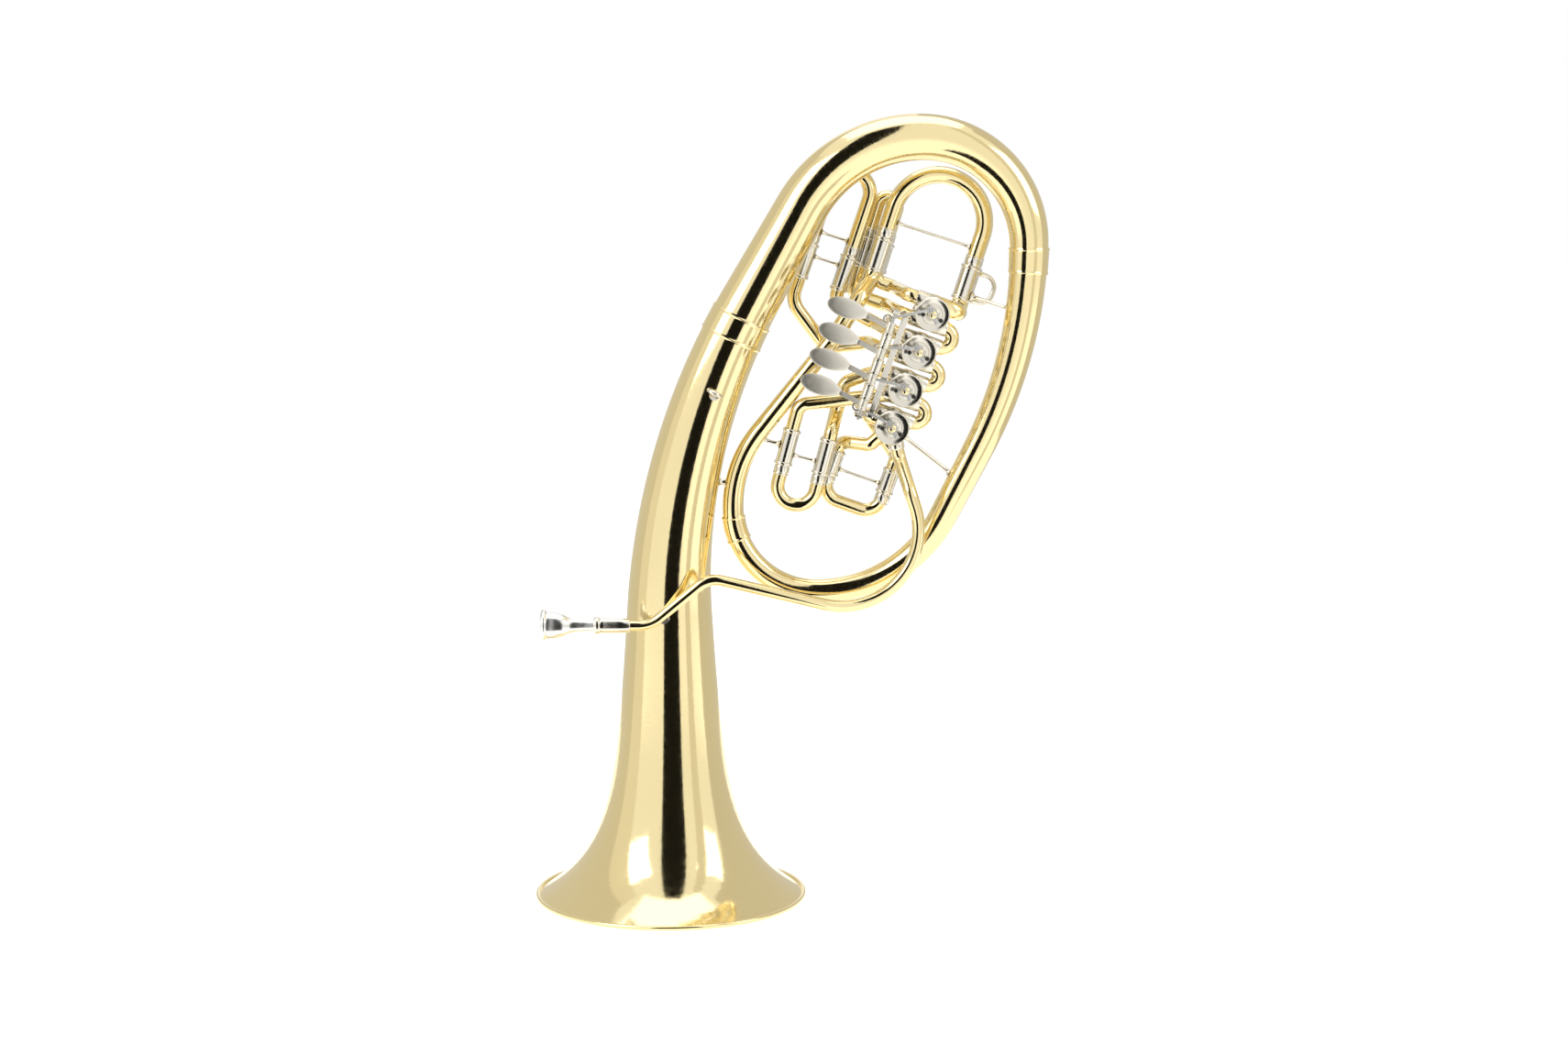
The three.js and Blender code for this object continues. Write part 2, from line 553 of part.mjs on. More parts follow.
// The crook: two thin legs inside the sleeves, the bow outside them, and a brace on the wider ones.
function makeSlide(name, braced) {
  const slide = SLIDES[name];
  const { out, left, right } = legsOf(slide);
  const inside = slide.sleeve - 3;
  const bend = slide.bend ?? slide.spread / 2;
  const route = roundedRoute([
    [along(left, out, -inside)],
    [along(left, out, slide.reach + bend), bend],
    [along(right, out, slide.reach + bend), bend],
    [along(right, out, -inside)],
  ], 45);
  const near = inside + FIT;
  const far = route.length - near;
  const thin = tubeOf(slide) - FIT;
  const wide = tubeOf(slide) + 0.5;
  const radiusAt = (s) => (s < near - 1e-3 || s > far + 1e-3 ? thin : wide);
  const edges = [near - 0.06, near, far, far + 0.06];
  const shell = core(route, 0, route.length, radiusAt, TUBE_SIDES, edges);
  const boreAt = (s) => (s < near + 1 - 1e-3 || s > far - 1 + 1e-3 ? thin : wide) - TUBE_WALL;
  const steps = [0, near + 0.94, near + 1, far - 1, far - 0.94, route.length];
  const bore = core(route, -1, route.length + 1, boreAt, TUBE_SIDES, steps);
  const parts = [shell];
  if (braced) parts.push(rod(along(left, out, braced), along(right, out, braced), 1.6, 8));
  addPiece(`${name}_slide`, join(...parts).subtract(bore), BRASS);
}

// One run of fixed tubing from a port to the mouth of a sleeve; the last stretch is the wider sleeve.
function tubingRun(corners, slide) {
  const route = roundedRoute(corners, 60);
  const tube = tubeOf(slide);
  const sleeveFrom = route.length - slide.sleeve;
  const wide = boreFor(tube - FIT, TUBE_SIDES);
  const outerAt = (s) => (s < sleeveFrom - 1e-3 ? tube : wide + SLEEVE_WALL);
  const innerAt = (s) => (s < sleeveFrom + 2 - 1e-3 ? tube - TUBE_WALL : wide);
  return {
    outer: core(route, 0, route.length, outerAt, TUBE_SIDES, [sleeveFrom - 0.06, sleeveFrom]),
    bore: core(route, -1, route.length + 1, innerAt, TUBE_SIDES, [0, sleeveFrom + 1.94, sleeveFrom + 2, route.length]),
  };
}

function makeTubing(name, leftCorners, rightCorners) {
  const slide = SLIDES[name];
  const { out, left, right } = legsOf(slide);
  const runs = [tubingRun([...leftCorners, [left]], slide), tubingRun([...rightCorners, [right]], slide)];
  const brace = rod(along(left, out, -slide.sleeve / 3), along(right, out, -slide.sleeve / 3), 1.6, 8);
  const inside = join(...runs.map((run) => run.bore));
  bores.push(inside);
  const solid = join(...runs.map((run) => run.outer), brace).subtract(inside).subtract(casingRoom);
  addPiece(`${name}_tubing`, solid, BRASS);
}

function makeAllTubing() {
  const one = legsOf(SLIDES.valve_1);
  const two = legsOf(SLIDES.valve_2);
  const three = legsOf(SLIDES.valve_3);
  const four = legsOf(SLIDES.valve_4);
  const behindOne = 31;
  const legTop = along(one.right, one.out, -SLIDES.valve_1.sleeve - 12);
  makeTubing(
    'valve_1',
    [[[197, 0, 436]], [[186, 0, 426.5], 7], [along(one.left, one.out, -33), 9]],
    [[row(-STUB, 0, 2)], [row(-25, 0, 2), 8], [row(-25, behindOne, 2), 8],
      [[legTop[0], behindOne, legTop[2]], 7], [legTop, 7]],
  );
  makeTubing(
    'valve_2',
    [[lowerRun[0]], [lowerRun[1], 12]],
    [[row(-STUB, 0, portW(1, 1))], [row(-25.5, 0, portW(1, 1)), 7], [[186, 15, 491.5], 7], [[163, 15, 483], 10],
      [[154.9, 15, 455], 8], [along(two.right, two.out, -41), 8]],
  );
  makeTubing(
    'valve_3',
    [[row(-STUB, 0, portW(2, -1))], [row(-30, 0, portW(2, -1)), 8], [row(-44, 31, portW(2, -1)), 10],
      [[146, 31, 514], 20], [along(three.left, three.out, -57), 22]],
    [[row(-STUB, 0, portW(2, 1))], [row(-30, 0, portW(2, 1)), 8], [row(-44, 31, portW(2, 1)), 10],
      [along(three.right, three.out, -45), 11]],
  );
  makeTubing(
    'valve_4',
    [[row(-STUB, 0, portW(3, -1))], [row(-26, 0, portW(3, -1)), 8], [row(-38, 48, portW(3, -1)), 10],
      [along(four.left, four.out, -54.3), 10]],
    [[row(-STUB, 0, portW(3, 1))], [row(-26, 0, portW(3, 1)), 8], [row(-38, 48, portW(3, 1)), 8],
      [along(four.right, four.out, -36.6), 8]],
  );
  const outlet = portW(3, 1);
  const rightRun = tubingRun([
    [row(STUB, 0, outlet)], [row(23.5, 0, outlet), 10],
    [along(mainLegs.right, mainLegs.out, -44.3), 10], [mainLegs.right],
  ], SLIDES.main);
  bores.push(rightRun.bore);
  addPiece('main_outlet_tube', rightRun.outer.subtract(rightRun.bore).subtract(casingRoom), BRASS);
}

// The small U between two neighbouring valves, on the right of the row.
function makeKnuckle(k) {
  const [from, to] = [portW(k, 1), portW(k + 1, -1)];
  const bend = (to - from) / 2;
  const route = roundedRoute([
    [row(STUB, 0, from)], [row(26, 0, from), bend], [row(26, 0, to), bend], [row(STUB, 0, to)],
  ], 45);
  const outer = core(route, 0, route.length, () => VALVE_TUBE, TUBE_SIDES);
  const bore = core(route, -1, route.length + 1, () => VALVE_TUBE - TUBE_WALL, TUBE_SIDES);
  bores.push(bore);
  addPiece(`knuckle_${k + 1}`, outer.subtract(bore).subtract(casingRoom), BRASS);
}

// The last length of the body: past the loop's ferrule, up behind the levers and into the tuning slide's
// left sleeve.
function makeReturnTube() {
  const end = bodyRoute.length;
  const sleeveFrom = end - SLIDES.main.sleeve;
  const wide = boreFor(MAIN_TUBE - FIT, TUBE_SIDES);
  const bodyAt = (s) => Math.max(MAIN_TUBE, bodyRadius(s));
  const outerAt = (s) => (s < sleeveFrom - 1e-3 ? bodyAt(s) : wide + SLEEVE_WALL);
  const innerAt = (s) => (s < sleeveFrom + 2 - 1e-3 ? bodyAt(s) - WALL : wide);
  const from = LOOP_JOINT + FIT / 2;
  const shell = core(bodyRoute, from, end, outerAt, BOW_SIDES, [LOOP_JOINT + FERRULE_LENGTH / 2, sleeveFrom - 0.06, sleeveFrom]);
  const edges = [from, LOOP_JOINT + FERRULE_LENGTH / 2, sleeveFrom + 1.94, sleeveFrom + 2, end];
  const bore = core(bodyRoute, from - 1, end + 1, innerAt, BOW_SIDES, edges);
  addPiece('return_tube', shell.subtract(bore), BRASS);
}

// ---------------------------------------------------------------- leadpipe, receiver and mouthpiece
const leadpipeRoute = roundedRoute([
  [[RECEIVER_END - 12, MOUTHPIPE_Y, MOUTHPIPE_Z]],
  [[-16, MOUTHPIPE_Y, MOUTHPIPE_Z], 30],
  [[38, -46, 309.5], 25],
  [[266, -23, 252], 70],
  [[222.8, -23, 385], 16],
  [inletStart, 12],
  [[209, 0, 432]],
], 30);

function makeLeadpipe() {
  const route = leadpipeRoute;
  const radiusAt = (s) => THREE.MathUtils.lerp(LEADPIPE_START, LEADPIPE_END, s / route.length);
  const outer = core(route, 0, route.length, radiusAt, TUBE_SIDES);
  const bore = core(route, -1, route.length + 1, (s) => radiusAt(s) - TUBE_WALL, TUBE_SIDES, [0, route.length]);
  bores.push(bore);
  addPiece('leadpipe', outer.subtract(bore).subtract(casingRoom), BRASS);
  const alongX = (profile) => turned(profile, 20).rotate([0, 0, -90]).translate([RECEIVER_END, MOUTHPIPE_Y, MOUTHPIPE_Z]);
  const shankHole = boreFor(5.2, 20);
  const pipeHole = LEADPIPE_START + 0.1 + FIT;
  addPiece('mouthpiece_receiver', alongX([
    [pipeHole, 0], [RECEIVER_RADIUS - 1.2, 0], [RECEIVER_RADIUS - 0.6, -RECEIVER_LENGTH + 5],
    [RECEIVER_RADIUS + 0.6, -RECEIVER_LENGTH + 4], [RECEIVER_RADIUS + 0.6, -RECEIVER_LENGTH],
    [shankHole, -RECEIVER_LENGTH], [shankHole, -12 - FIT], [pipeHole, -12 - FIT], [pipeHole, 0],
  ]), NICKEL);
}

// Rim, cup, throat and shank, turned in one piece round the mouthpipe's axis.
function makeMouthpiece() {
  const shankEnd = RECEIVER_END - 12 - 2 * FIT - 1;
  const rim = MOUTHPIECE_RIM;
  const length = MOUTHPIECE_LENGTH;
  const profile = [
    [5.2, 0], [5.2, -SHANK_DEPTH + 2], [5.6, -length + 34], [7, -length + 28], [11.5, -length + 18],
    [12.6, -length + 8], [rim, -length + 4], [rim, -length + 1.5], [rim - 1.6, -length],
    [rim - 3.4, -length], [rim - 4.4, -length + 2], [9.6, -length + 12], [6, -length + 20],
    [3.4, -length + 26], [3, -length + 32], [4.2, 0], [5.2, 0],
  ];
  const solid = turned(profile, 18).rotate([0, 0, -90]).translate([shankEnd, MOUTHPIPE_Y, MOUTHPIPE_Z]);
  addPiece('mouthpiece', solid, SILVER);
}

for (let k = 0; k < VALVE_COUNT; k += 1) {
  makeRearCap(k);
  makeRotor(k);
  makeStopArm(k);
  makeLever(k);
  makeLink(k);
  if (k < VALVE_COUNT - 1) makeKnuckle(k);
}
makeAllTubing();
makeReturnTube();
makeLeadpipe();
makeMouthpiece();
const allBores = join(...bores).translate(ROW_START.map((c) => -c)).rotate([0, -ROW_LEAN, 0]);
for (let k = 0; k < VALVE_COUNT; k += 1) makeCasing(k);
makeAxle();
makeLeverFrame();
makeSlide('valve_1', 0);
makeSlide('valve_2', 0);
makeSlide('valve_3', 12);
makeSlide('valve_4', 0);
makeSlide('main', 16);

// ---------------------------------------------------------------- braces, hook and ring
const BRACE_RADIUS = 2;
const SEAT = 0.1; // a brace's saddle stands this far off the corners of the tube it is soldered to

const bodyRoom = (from, to, sides) => core(bodyRoute, from, to, (s) => bodyRadius(s) + SEAT, sides);

const stemRoom = bodyRoom(bellRings.at(-1), BELL_JOINT - FERRULE_LENGTH / 2, 24);

// A round room about a straight sleeve, centred some way back from its mouth.
function sleeveRoom(tube, mouth, out, back) {
  const radius = boreFor(tube - FIT, TUBE_SIDES) + SLEEVE_WALL + SEAT;
  return rod(along(mouth, out, -back - 20), along(mouth, out, -back + 20), radius, 24);
}

function makeBraces() {
  const toBranch = along(mainLegs.right, mainLegs.out, -27);
  addPiece('brace_slide_branch', rod(toBranch, [330, 0, 547], BRACE_RADIUS)
    .subtract(sleeveRoom(MAIN_TUBE, mainLegs.right, mainLegs.out, 22))
    .subtract(bodyRoom(BRANCH_JOINT + 20, 1100, BOW_SIDES)), NICKEL);

  const branchSide = rod([205.8, 0, 444], [270, 0, 393], BRACE_RADIUS);
  addPiece('brace_valve_branch', branchSide.subtract(casingRoom)
    .subtract(bodyRoom(1100, 1300, BOW_SIDES)), NICKEL);

  const two = legsOf(SLIDES.valve_2);
  const sleeve = along(two.left, two.out, -18);
  addPiece('brace_loop', rod([80, 0, sleeve[2] + 8], sleeve, BRACE_RADIUS)
    .subtract(sleeveRoom(VALVE_TUBE, two.left, two.out, 18))
    .subtract(bodyRoom(LOOP_JOINT + 14, LOOP_JOINT + 140, BOW_SIDES)), NICKEL);

  addPiece('brace_stem', rod([12, 0, 392], [LOOP_LEFT, 0, 392], BRACE_RADIUS + 1)
    .subtract(stemRoom)
    .subtract(bodyRoom(LOOP_JOINT + 14, LOOP_JOINT + 140, BOW_SIDES)), NICKEL);

  const pipe = [-4, MOUTHPIPE_Y + 2, MOUTHPIPE_Z + 5];
  const pipeRoom = core(leadpipeRoute, 0, 90, () => LEADPIPE_END - 0.6, TUBE_SIDES);
  addPiece('brace_leadpipe', rod([-2, -20, pipe[2]], pipe, BRACE_RADIUS + 0.6)
    .subtract(stemRoom).subtract(pipeRoom), NICKEL);
}

// The hook for the little finger, a half ring soldered to the tuning slide's right sleeve.
function makeFingerHook() {
  const from = along(mainLegs.right, mainLegs.out, -5);
  const to = along(mainLegs.right, mainLegs.out, -31);
  const side = across(SLIDES.main.lean);
  const route = roundedRoute([[from], [along(from, side, 27), 11], [along(to, side, 25), 11], [to]], 30);
  addPiece('finger_hook', core(route, 0, route.length, () => 2.4, TUBE_SIDES)
    .subtract(sleeveRoom(MAIN_TUBE, mainLegs.right, mainLegs.out, 18)), NICKEL);
}

// The lyre and strap eye on the front of the stem.
function makeStrapRing() {
  const centre = [44, -39.5, 478];
  const ring = new THREE.TorusGeometry(6.5, 1.7, 6, 12).rotateY(0.5).translate(...centre);
  const foot = rod([40, -20, 474], [43.6, -34.5, 475.6], 3, 10);
  addPiece('strap_ring', join(solidOf(ring), foot).subtract(stemRoom), NICKEL);
}
makeBraces();
makeFingerHook();
makeStrapRing();

// The origin is the middle of the footprint of the whole instrument, on the plane that it stands on.
const bounds = new THREE.Box3().setFromObject(root, true);
root.position.set(
  -(bounds.min.x + bounds.max.x) / 2,
  -(bounds.min.y + bounds.max.y) / 2,
  -bounds.min.z,
);

export default root;
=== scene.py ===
"""Oval tenor horn with rotary valves: fine surfaces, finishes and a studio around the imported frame.

Every tube is one rule: a round section whose radius depends on the distance along a route. Sizes are
in millimetres about the bell's axis, and a surface is moved into the frame's metres when it is built.
"""

import math

import bpy
import numpy as np
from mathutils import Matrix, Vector


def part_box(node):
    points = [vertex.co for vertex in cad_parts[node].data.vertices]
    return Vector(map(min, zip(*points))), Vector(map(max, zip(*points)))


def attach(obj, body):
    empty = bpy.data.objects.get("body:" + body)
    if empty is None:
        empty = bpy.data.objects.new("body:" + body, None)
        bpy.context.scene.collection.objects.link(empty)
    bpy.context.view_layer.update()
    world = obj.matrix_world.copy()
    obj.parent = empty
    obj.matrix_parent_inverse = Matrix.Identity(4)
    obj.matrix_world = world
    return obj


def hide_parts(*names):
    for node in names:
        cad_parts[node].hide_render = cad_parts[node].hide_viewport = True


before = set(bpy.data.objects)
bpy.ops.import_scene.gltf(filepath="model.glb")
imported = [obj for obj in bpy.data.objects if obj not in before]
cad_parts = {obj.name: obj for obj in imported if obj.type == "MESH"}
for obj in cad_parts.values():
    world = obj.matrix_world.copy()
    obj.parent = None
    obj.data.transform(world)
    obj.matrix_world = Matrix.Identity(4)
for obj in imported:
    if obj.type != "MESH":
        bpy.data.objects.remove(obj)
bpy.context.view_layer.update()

bl_info = {
    "name": "Oval tenor horn",
    "version": (1, 0, 0),
    "blender": (4, 5, 0),
    "location": "View3D > Sidebar > Horn",
    "description": "Builds the brasswork, the valves, the levers and the studio of an oval tenor horn",
    "category": "Add Mesh",
}

BEAD_LOW, BEAD_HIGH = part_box("bell_rim_bead")
BELL_AXIS = np.array([(BEAD_LOW.x + BEAD_HIGH.x) / 2, 0.0, 0.0])
MM = 0.001
SHARP = math.radians(38)
VALVES = range(4)

# ------------------------------------------------------------------ sizes shared by several pieces
FIT = 0.3
FERRULE = 24.0
JOINT_GAP = 0.15  # a stretch of the body stops this far short of a joint
SHEET = 0.6  # wall of every small tube
FLOOR_LIFT = 0.50  # what the floor gives off to the camera and to reflections
BELL_JOINT, BRANCH_JOINT, LOOP_JOINT = 545.0, 972.0, 1470.0
ROW_LEAN = math.radians(19.3)
ROW_START = np.array([205.8, 0.0, 444.0])
VALVE_PITCH = 36.8
CASING = 16.0
CASING_FRONT, CASING_REAR = -18.0, 16.0
PORT = 9.2
VALVE_TUBE, MAIN_TUBE = 6.5, 8.0
COPE = 15.2  # a port's tube ends on this radius, inside the casing's wall
AXLE_U, AXLE_Y = -34.0, -46.0
LEVER_PITCH, FIRST_LEVER, LEVER_ARM, CRANK = 24.5, 14.0, 20.0, 5.5
HUB_LENGTH = 10.0
STOP_ARM_Y, LINK_Y = -22.5, -27.2
PIPE_Y, PIPE_Z = -52.0, 266.0
RECEIVER_END = -34.0

SLIDES = {
    "valve_1": dict(lean=19.3, mouth=(148.5, 16, 396.8), spread=54, reach=5, bend=16, up=-1, sleeve=24),
    "valve_2": dict(lean=15, mouth=(105.5, 0, 408), spread=35.5, reach=16, bend=17.75, up=-1, sleeve=34),
    "valve_3": dict(lean=18.5, mouth=(131.5, 31, 611.7), spread=38, reach=55, bend=19, up=1, sleeve=34),
    "valve_4": dict(lean=17, mouth=(184.8, 48, 616.1), spread=18, reach=32, bend=9, up=1, sleeve=28),
    "main": dict(lean=18, mouth=(199.5, 31, 616.7), spread=86, reach=29, bend=43, up=1, sleeve=33),
}


def tube_of(name):
    return MAIN_TUBE if name == "main" else VALVE_TUBE


def sleeve_bore(name):
    """The eight-sided sleeve's bore in the frame is this wide, so the round one is as well."""
    return tube_of(name) / math.cos(math.pi / 8)


def legs_of(name):
    """Way out of a slide's sleeves, and the middles of its left and right mouths."""
    slide = SLIDES[name]
    a = math.radians(slide["lean"])
    out = np.array([math.sin(a), 0, math.cos(a)]) * slide["up"]
    left = np.array(slide["mouth"], float)
    right = left + np.array([math.cos(a), 0, -math.sin(a)]) * slide["spread"]
    return out, left, right


def row(u, y, w):
    """A point of the valve row: u across it, w along it, both turned by the row's lean about y."""
    u, y, w = np.broadcast_arrays(np.asarray(u, float), y, w)
    x = u * math.cos(ROW_LEAN) + w * math.sin(ROW_LEAN)
    z = w * math.cos(ROW_LEAN) - u * math.sin(ROW_LEAN)
    return ROW_START + np.stack([x, y, z], axis=-1)


def valve_at(k):
    return k * VALVE_PITCH


def port_at(k, side):
    return valve_at(k) + side * PORT


def lever_at(k):
    return FIRST_LEVER + k * LEVER_PITCH


def arm_at(k):
    return lever_at(k) + 0.3 * (valve_at(k) - lever_at(k))


# ------------------------------------------------------------------ routes and sections
def unit(v):
    return v / np.linalg.norm(v, axis=-1, keepdims=True)


def rounded(corners, fine=4.0):
    """A route through (corner, bend radius): each corner becomes an arc, start + r(1 - cos a) towards the
    inside of the bend + r sin a along the way in, with a from 0 to the whole turn."""
    stretches = [np.array([corners[0][0]], float)]
    for before, (corner, radius), after in zip(corners, corners[1:], corners[2:]):
        corner = np.array(corner, float)
        inward = unit(corner - np.array(before[0], float))
        outward = unit(np.array(after[0], float) - corner)
        cosine = float(np.clip(inward @ outward, -1, 1))
        turn = math.acos(cosine)
        start = corner - inward * radius * math.tan(turn / 2)
        side = unit(outward - inward * cosine)
        steps = max(6, math.ceil(math.degrees(turn) / fine), math.ceil(turn * radius / fine))
        a = np.linspace(0, turn, steps + 1)[:, None]
        arc = start + side * radius * (1 - np.cos(a)) + inward * radius * np.sin(a)
        if float((start - np.atleast_2d(stretches[-1])[-1]) @ inward) > 1:
            stretches.append(start - inward * 0.4)
        elif len(stretches) > 1:  # the last arc runs straight into this one
            stretches.pop()
            arc = arc[1:]
        stretches += [arc, arc[-1] + outward * 0.4]
    stretches.append(np.array([corners[-1][0]], float))
    return np.vstack([np.atleast_2d(p) for p in stretches])


def length_of(route):
    return float(np.linalg.norm(np.diff(route, axis=0), axis=1).sum())


def stations(route, start, end, fine=6.0, extra=()):
    """Distances along a route at which it is cut: its own points, even steps and the extra ones."""
    lengths = np.concatenate([[0], np.cumsum(np.linalg.norm(np.diff(route, axis=0), axis=1))])
    even = np.linspace(start, end, max(2, math.ceil((end - start) / fine) + 1))
    every = np.concatenate([lengths, even, np.asarray(extra, float)])
    every = np.unique(np.round(every[(every >= start) & (every <= end)], 3))
    keep = np.concatenate([[True], np.diff(every) > 0.04])
    return every[keep]


SIDE_CHOICES = unit(np.array([
    (0, 1, 0), (1, 0, 0), (0, 0, 1), (1, 1, 0), (1, -1, 0), (0, 1, 1), (0, 1, -1), (1, 0, 1), (1, 0, -1),
    (1, 1, 1), (1, 1, -1), (1, -1, 1), (-1, 1, 1),
], float))


def sections(route, s, radius, sides):
    """Rings along a route: middle(s) + radius(s) (cos t side + sin t other), t once round. Side is the one
    fixed direction, of a few, that the route least runs along, made square to the route."""
    steps = np.diff(route, axis=0)
    lengths = np.concatenate([[0], np.cumsum(np.linalg.norm(steps, axis=1))])
    ways = unit(steps)
    mean = unit(np.vstack([ways[:1], ways[:-1] + ways[1:], ways[-1:]]))
    tangent = unit(np.stack([np.interp(s, lengths, mean[:, i]) for i in range(3)], axis=1))
    middle = np.stack([np.interp(s, lengths, route[:, i]) for i in range(3)], axis=1)
    middle = middle + tangent * (s - np.clip(s, 0, lengths[-1]))[:, None]
    along = np.abs(SIDE_CHOICES @ tangent.T).max(axis=1)
    choice = SIDE_CHOICES[np.argmin(along)]
    side = unit(choice - tangent * (tangent @ choice)[:, None])
    other = np.cross(tangent, side)
    t = np.linspace(0, 2 * math.pi, sides, endpoint=False)
    spokes = np.cos(t)[None, :, None] * side[:, None] + np.sin(t)[None, :, None] * other[:, None]
    return middle[:, None] + np.asarray(radius, float)[:, None, None] * spokes


def pipe(route, start, end, outer, wall, sides=32, fine=6.0, extra=()):
    """A hollow tube: out along the outer radius and back along the outer radius less the wall."""
    s = stations(route, start, end, fine, extra)
    r = outer(s) if callable(outer) else np.full(len(s), float(outer))
    there_and_back = np.concatenate([s, s[::-1]])
    return sections(route, there_and_back, np.concatenate([r, (r - wall)[::-1]]), sides), True


def collar(route, start, end, inner, height, sides=32):
    """A turned ring: its outside is inner + height (1 - x^4), with x from -1 to 1 over its width."""
    x = np.linspace(-1, 1, 9)
    s = (start + end) / 2 + x * (end - start) / 2
    r = inner + height * (1 - x**4) + 0.15
    there_and_back = np.concatenate([s, s[::-1]])
    radius = np.concatenate([r, np.full(9, inner - 0.1)])
    return sections(route, there_and_back, radius, sides), True


def straight(a, b):
    return np.array([a, b], float)


def strut(a, b, gap_a, gap_b, radius=1.6, foot=2.4, sides=20):
    """A brace whose radius is radius + foot exp(-d / 1.6), with d the distance from each tube's skin."""
    route = straight(a, b)
    length = length_of(route)
    s = np.linspace(gap_a, length - gap_b, 40)
    feet = np.exp(-(s - gap_a) / 1.6) + np.exp(-(length - gap_b - s) / 1.6)
    return sections(route, s, radius + foot * feet, sides), False


def rod(a, b, radius, sides=20, edge=0.35):
    """A pin with both ends chamfered by a small edge."""
    route = straight(a, b)
    length = length_of(route)
    s = np.array([0, edge, length - edge, length])
    r = np.array([radius - edge, radius, radius, radius - edge])
    return sections(route, s, r, sides), False


def turned(points, centre, profile, sides=48):
    """A profile of (radius, distance) carried round the axis from centre along the vector points."""
    profile = np.array(profile, float)
    route = straight(centre, np.array(centre, float) + np.array(points, float))
    return sections(route, profile[:, 1], profile[:, 0], sides), True


def flowing(profile, count):
    """Points of a Catmull-Rom curve through the profile: each span is the cubic whose slope at a point is
    half the step between that point's neighbours."""
    p = np.array(profile, float)
    q = np.vstack([2 * p[0] - p[1], p, 2 * p[-1] - p[-2]])
    u = np.linspace(0, len(p) - 1, count)
    i = np.minimum(u.astype(int), len(p) - 2)
    t = (u - i)[:, None]
    a, b, c, d = q[i], q[i + 1], q[i + 2], q[i + 3]
    return 0.5 * (2 * b + (c - a) * t + (2 * a - 5 * b + 4 * c - d) * t**2 + (3 * b - a - 3 * c + d) * t**3)


def slab(outline, low, high, edge=0.5, crown=0.0):
    """A plate: one outline (u, w) at several heights y, drawn in by edge at both faces to round it, with
    its upper face raised by crown (1 - inset^2) towards the middle."""
    outline = np.array(outline, float)
    middle = outline.mean(axis=0)
    reach = np.linalg.norm(outline - middle, axis=1).mean()
    inset = np.array([0.02, 0.35, 0.7, 1 - 1.2 * edge / reach, 1 - 0.3 * edge / reach, 1, 1,
                      1 - 0.3 * edge / reach, 1 - 1.2 * edge / reach, 0.6, 0.02])
    y = np.array([low, low, low, low, low + 0.3 * edge, low + edge, high - edge,
                  high - 0.3 * edge, high, high, high])
    y[:4] -= crown * (1 - inset[:4] ** 2)
    points = middle + (outline - middle)[None] * inset[:, None, None]
    return row(points[..., 0], y[:, None], points[..., 1]), False


def bar_outline(u0, w0, u1, w1, half, count=40):
    """A round-ended bar between two points: a half circle of radius half about each end."""
    a = math.atan2(w1 - w0, u1 - u0)
    t = np.linspace(-math.pi / 2, math.pi / 2, count // 2)
    far = np.stack([u1 + half * np.cos(a + t), w1 + half * np.sin(a + t)], axis=1)
    near = np.stack([u0 - half * np.cos(a + t), w0 - half * np.sin(a + t)], axis=1)
    return np.vstack([far, near])


def block_outline(u0, u1, w0, w1, corner=0.8):
    """A rectangle with a quarter circle at each corner."""
    t = np.linspace(0, math.pi / 2, 5)
    spots = [(u1 - corner, w1 - corner, 0), (u0 + corner, w1 - corner, 1),
             (u0 + corner, w0 + corner, 2), (u1 - corner, w0 + corner, 3)]
    return np.vstack([
        np.stack([u + corner * np.cos(t + q * math.pi / 2), w + corner * np.sin(t + q * math.pi / 2)], axis=1)
        for u, w, q in spots
    ])


# ------------------------------------------------------------------ meshes
def faces_of(rings, around, closed, first):
    """Quads between neighbouring rings, wrapped both ways if closed, else with a flat cap at each end."""
    i = np.arange(rings if closed else rings - 1)[:, None]
    j = np.arange(around)[None]
    a = i * around + j
    b = i * around + (j + 1) % around
    up = ((i + 1) % rings) * around
    quads = np.stack([a, b, up + (j + 1) % around, up + j], axis=-1).reshape(-1, 4) + first
    caps = []
    if not closed:
        caps = [(first + np.arange(around))[::-1].tolist(),
                (first + (rings - 1) * around + np.arange(around)).tolist()]
    return quads, caps


def built(name, parts, finishes, body, nodes):
    """One object from grids of rings: each part is ((rings, around, 3) points, closed, finish number). A
    part whose signed volume, the sum of a . (b x c) over its triangles, is negative is turned over."""
    points, faces, marks, first = [], [], [], 0
    for (grid, closed), mark in parts:
        quads, caps = faces_of(grid.shape[0], grid.shape[1], closed, first)
        flat = grid.reshape(-1, 3)
        p = (flat - flat.mean(axis=0))[quads - first]
        volume = np.einsum("ij,ij->", p[:, 0], np.cross(p[:, 1], p[:, 2]) + np.cross(p[:, 2], p[:, 3]))
        if volume < 0:
            quads = quads[:, ::-1]
            caps = [cap[::-1] for cap in caps]
        points.append(flat)
        faces += quads.tolist() + caps
        marks += [mark] * (len(quads) + len(caps))
        first += len(flat)
    mesh = bpy.data.meshes.new(name)
    mesh.from_pydata(np.vstack(points) * MM + BELL_AXIS, [], faces)
    for finish in finishes:
        mesh.materials.append(finish)
    mesh.polygons.foreach_set("material_index", marks)
    mesh.polygons.foreach_set("use_smooth", [True] * len(faces))
    mesh.update()
    mesh.set_sharp_from_angle(angle=SHARP)
    piece = bpy.data.objects.new(name, mesh)
    bpy.context.scene.collection.objects.link(piece)
    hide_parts(*nodes)
    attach(piece, body)


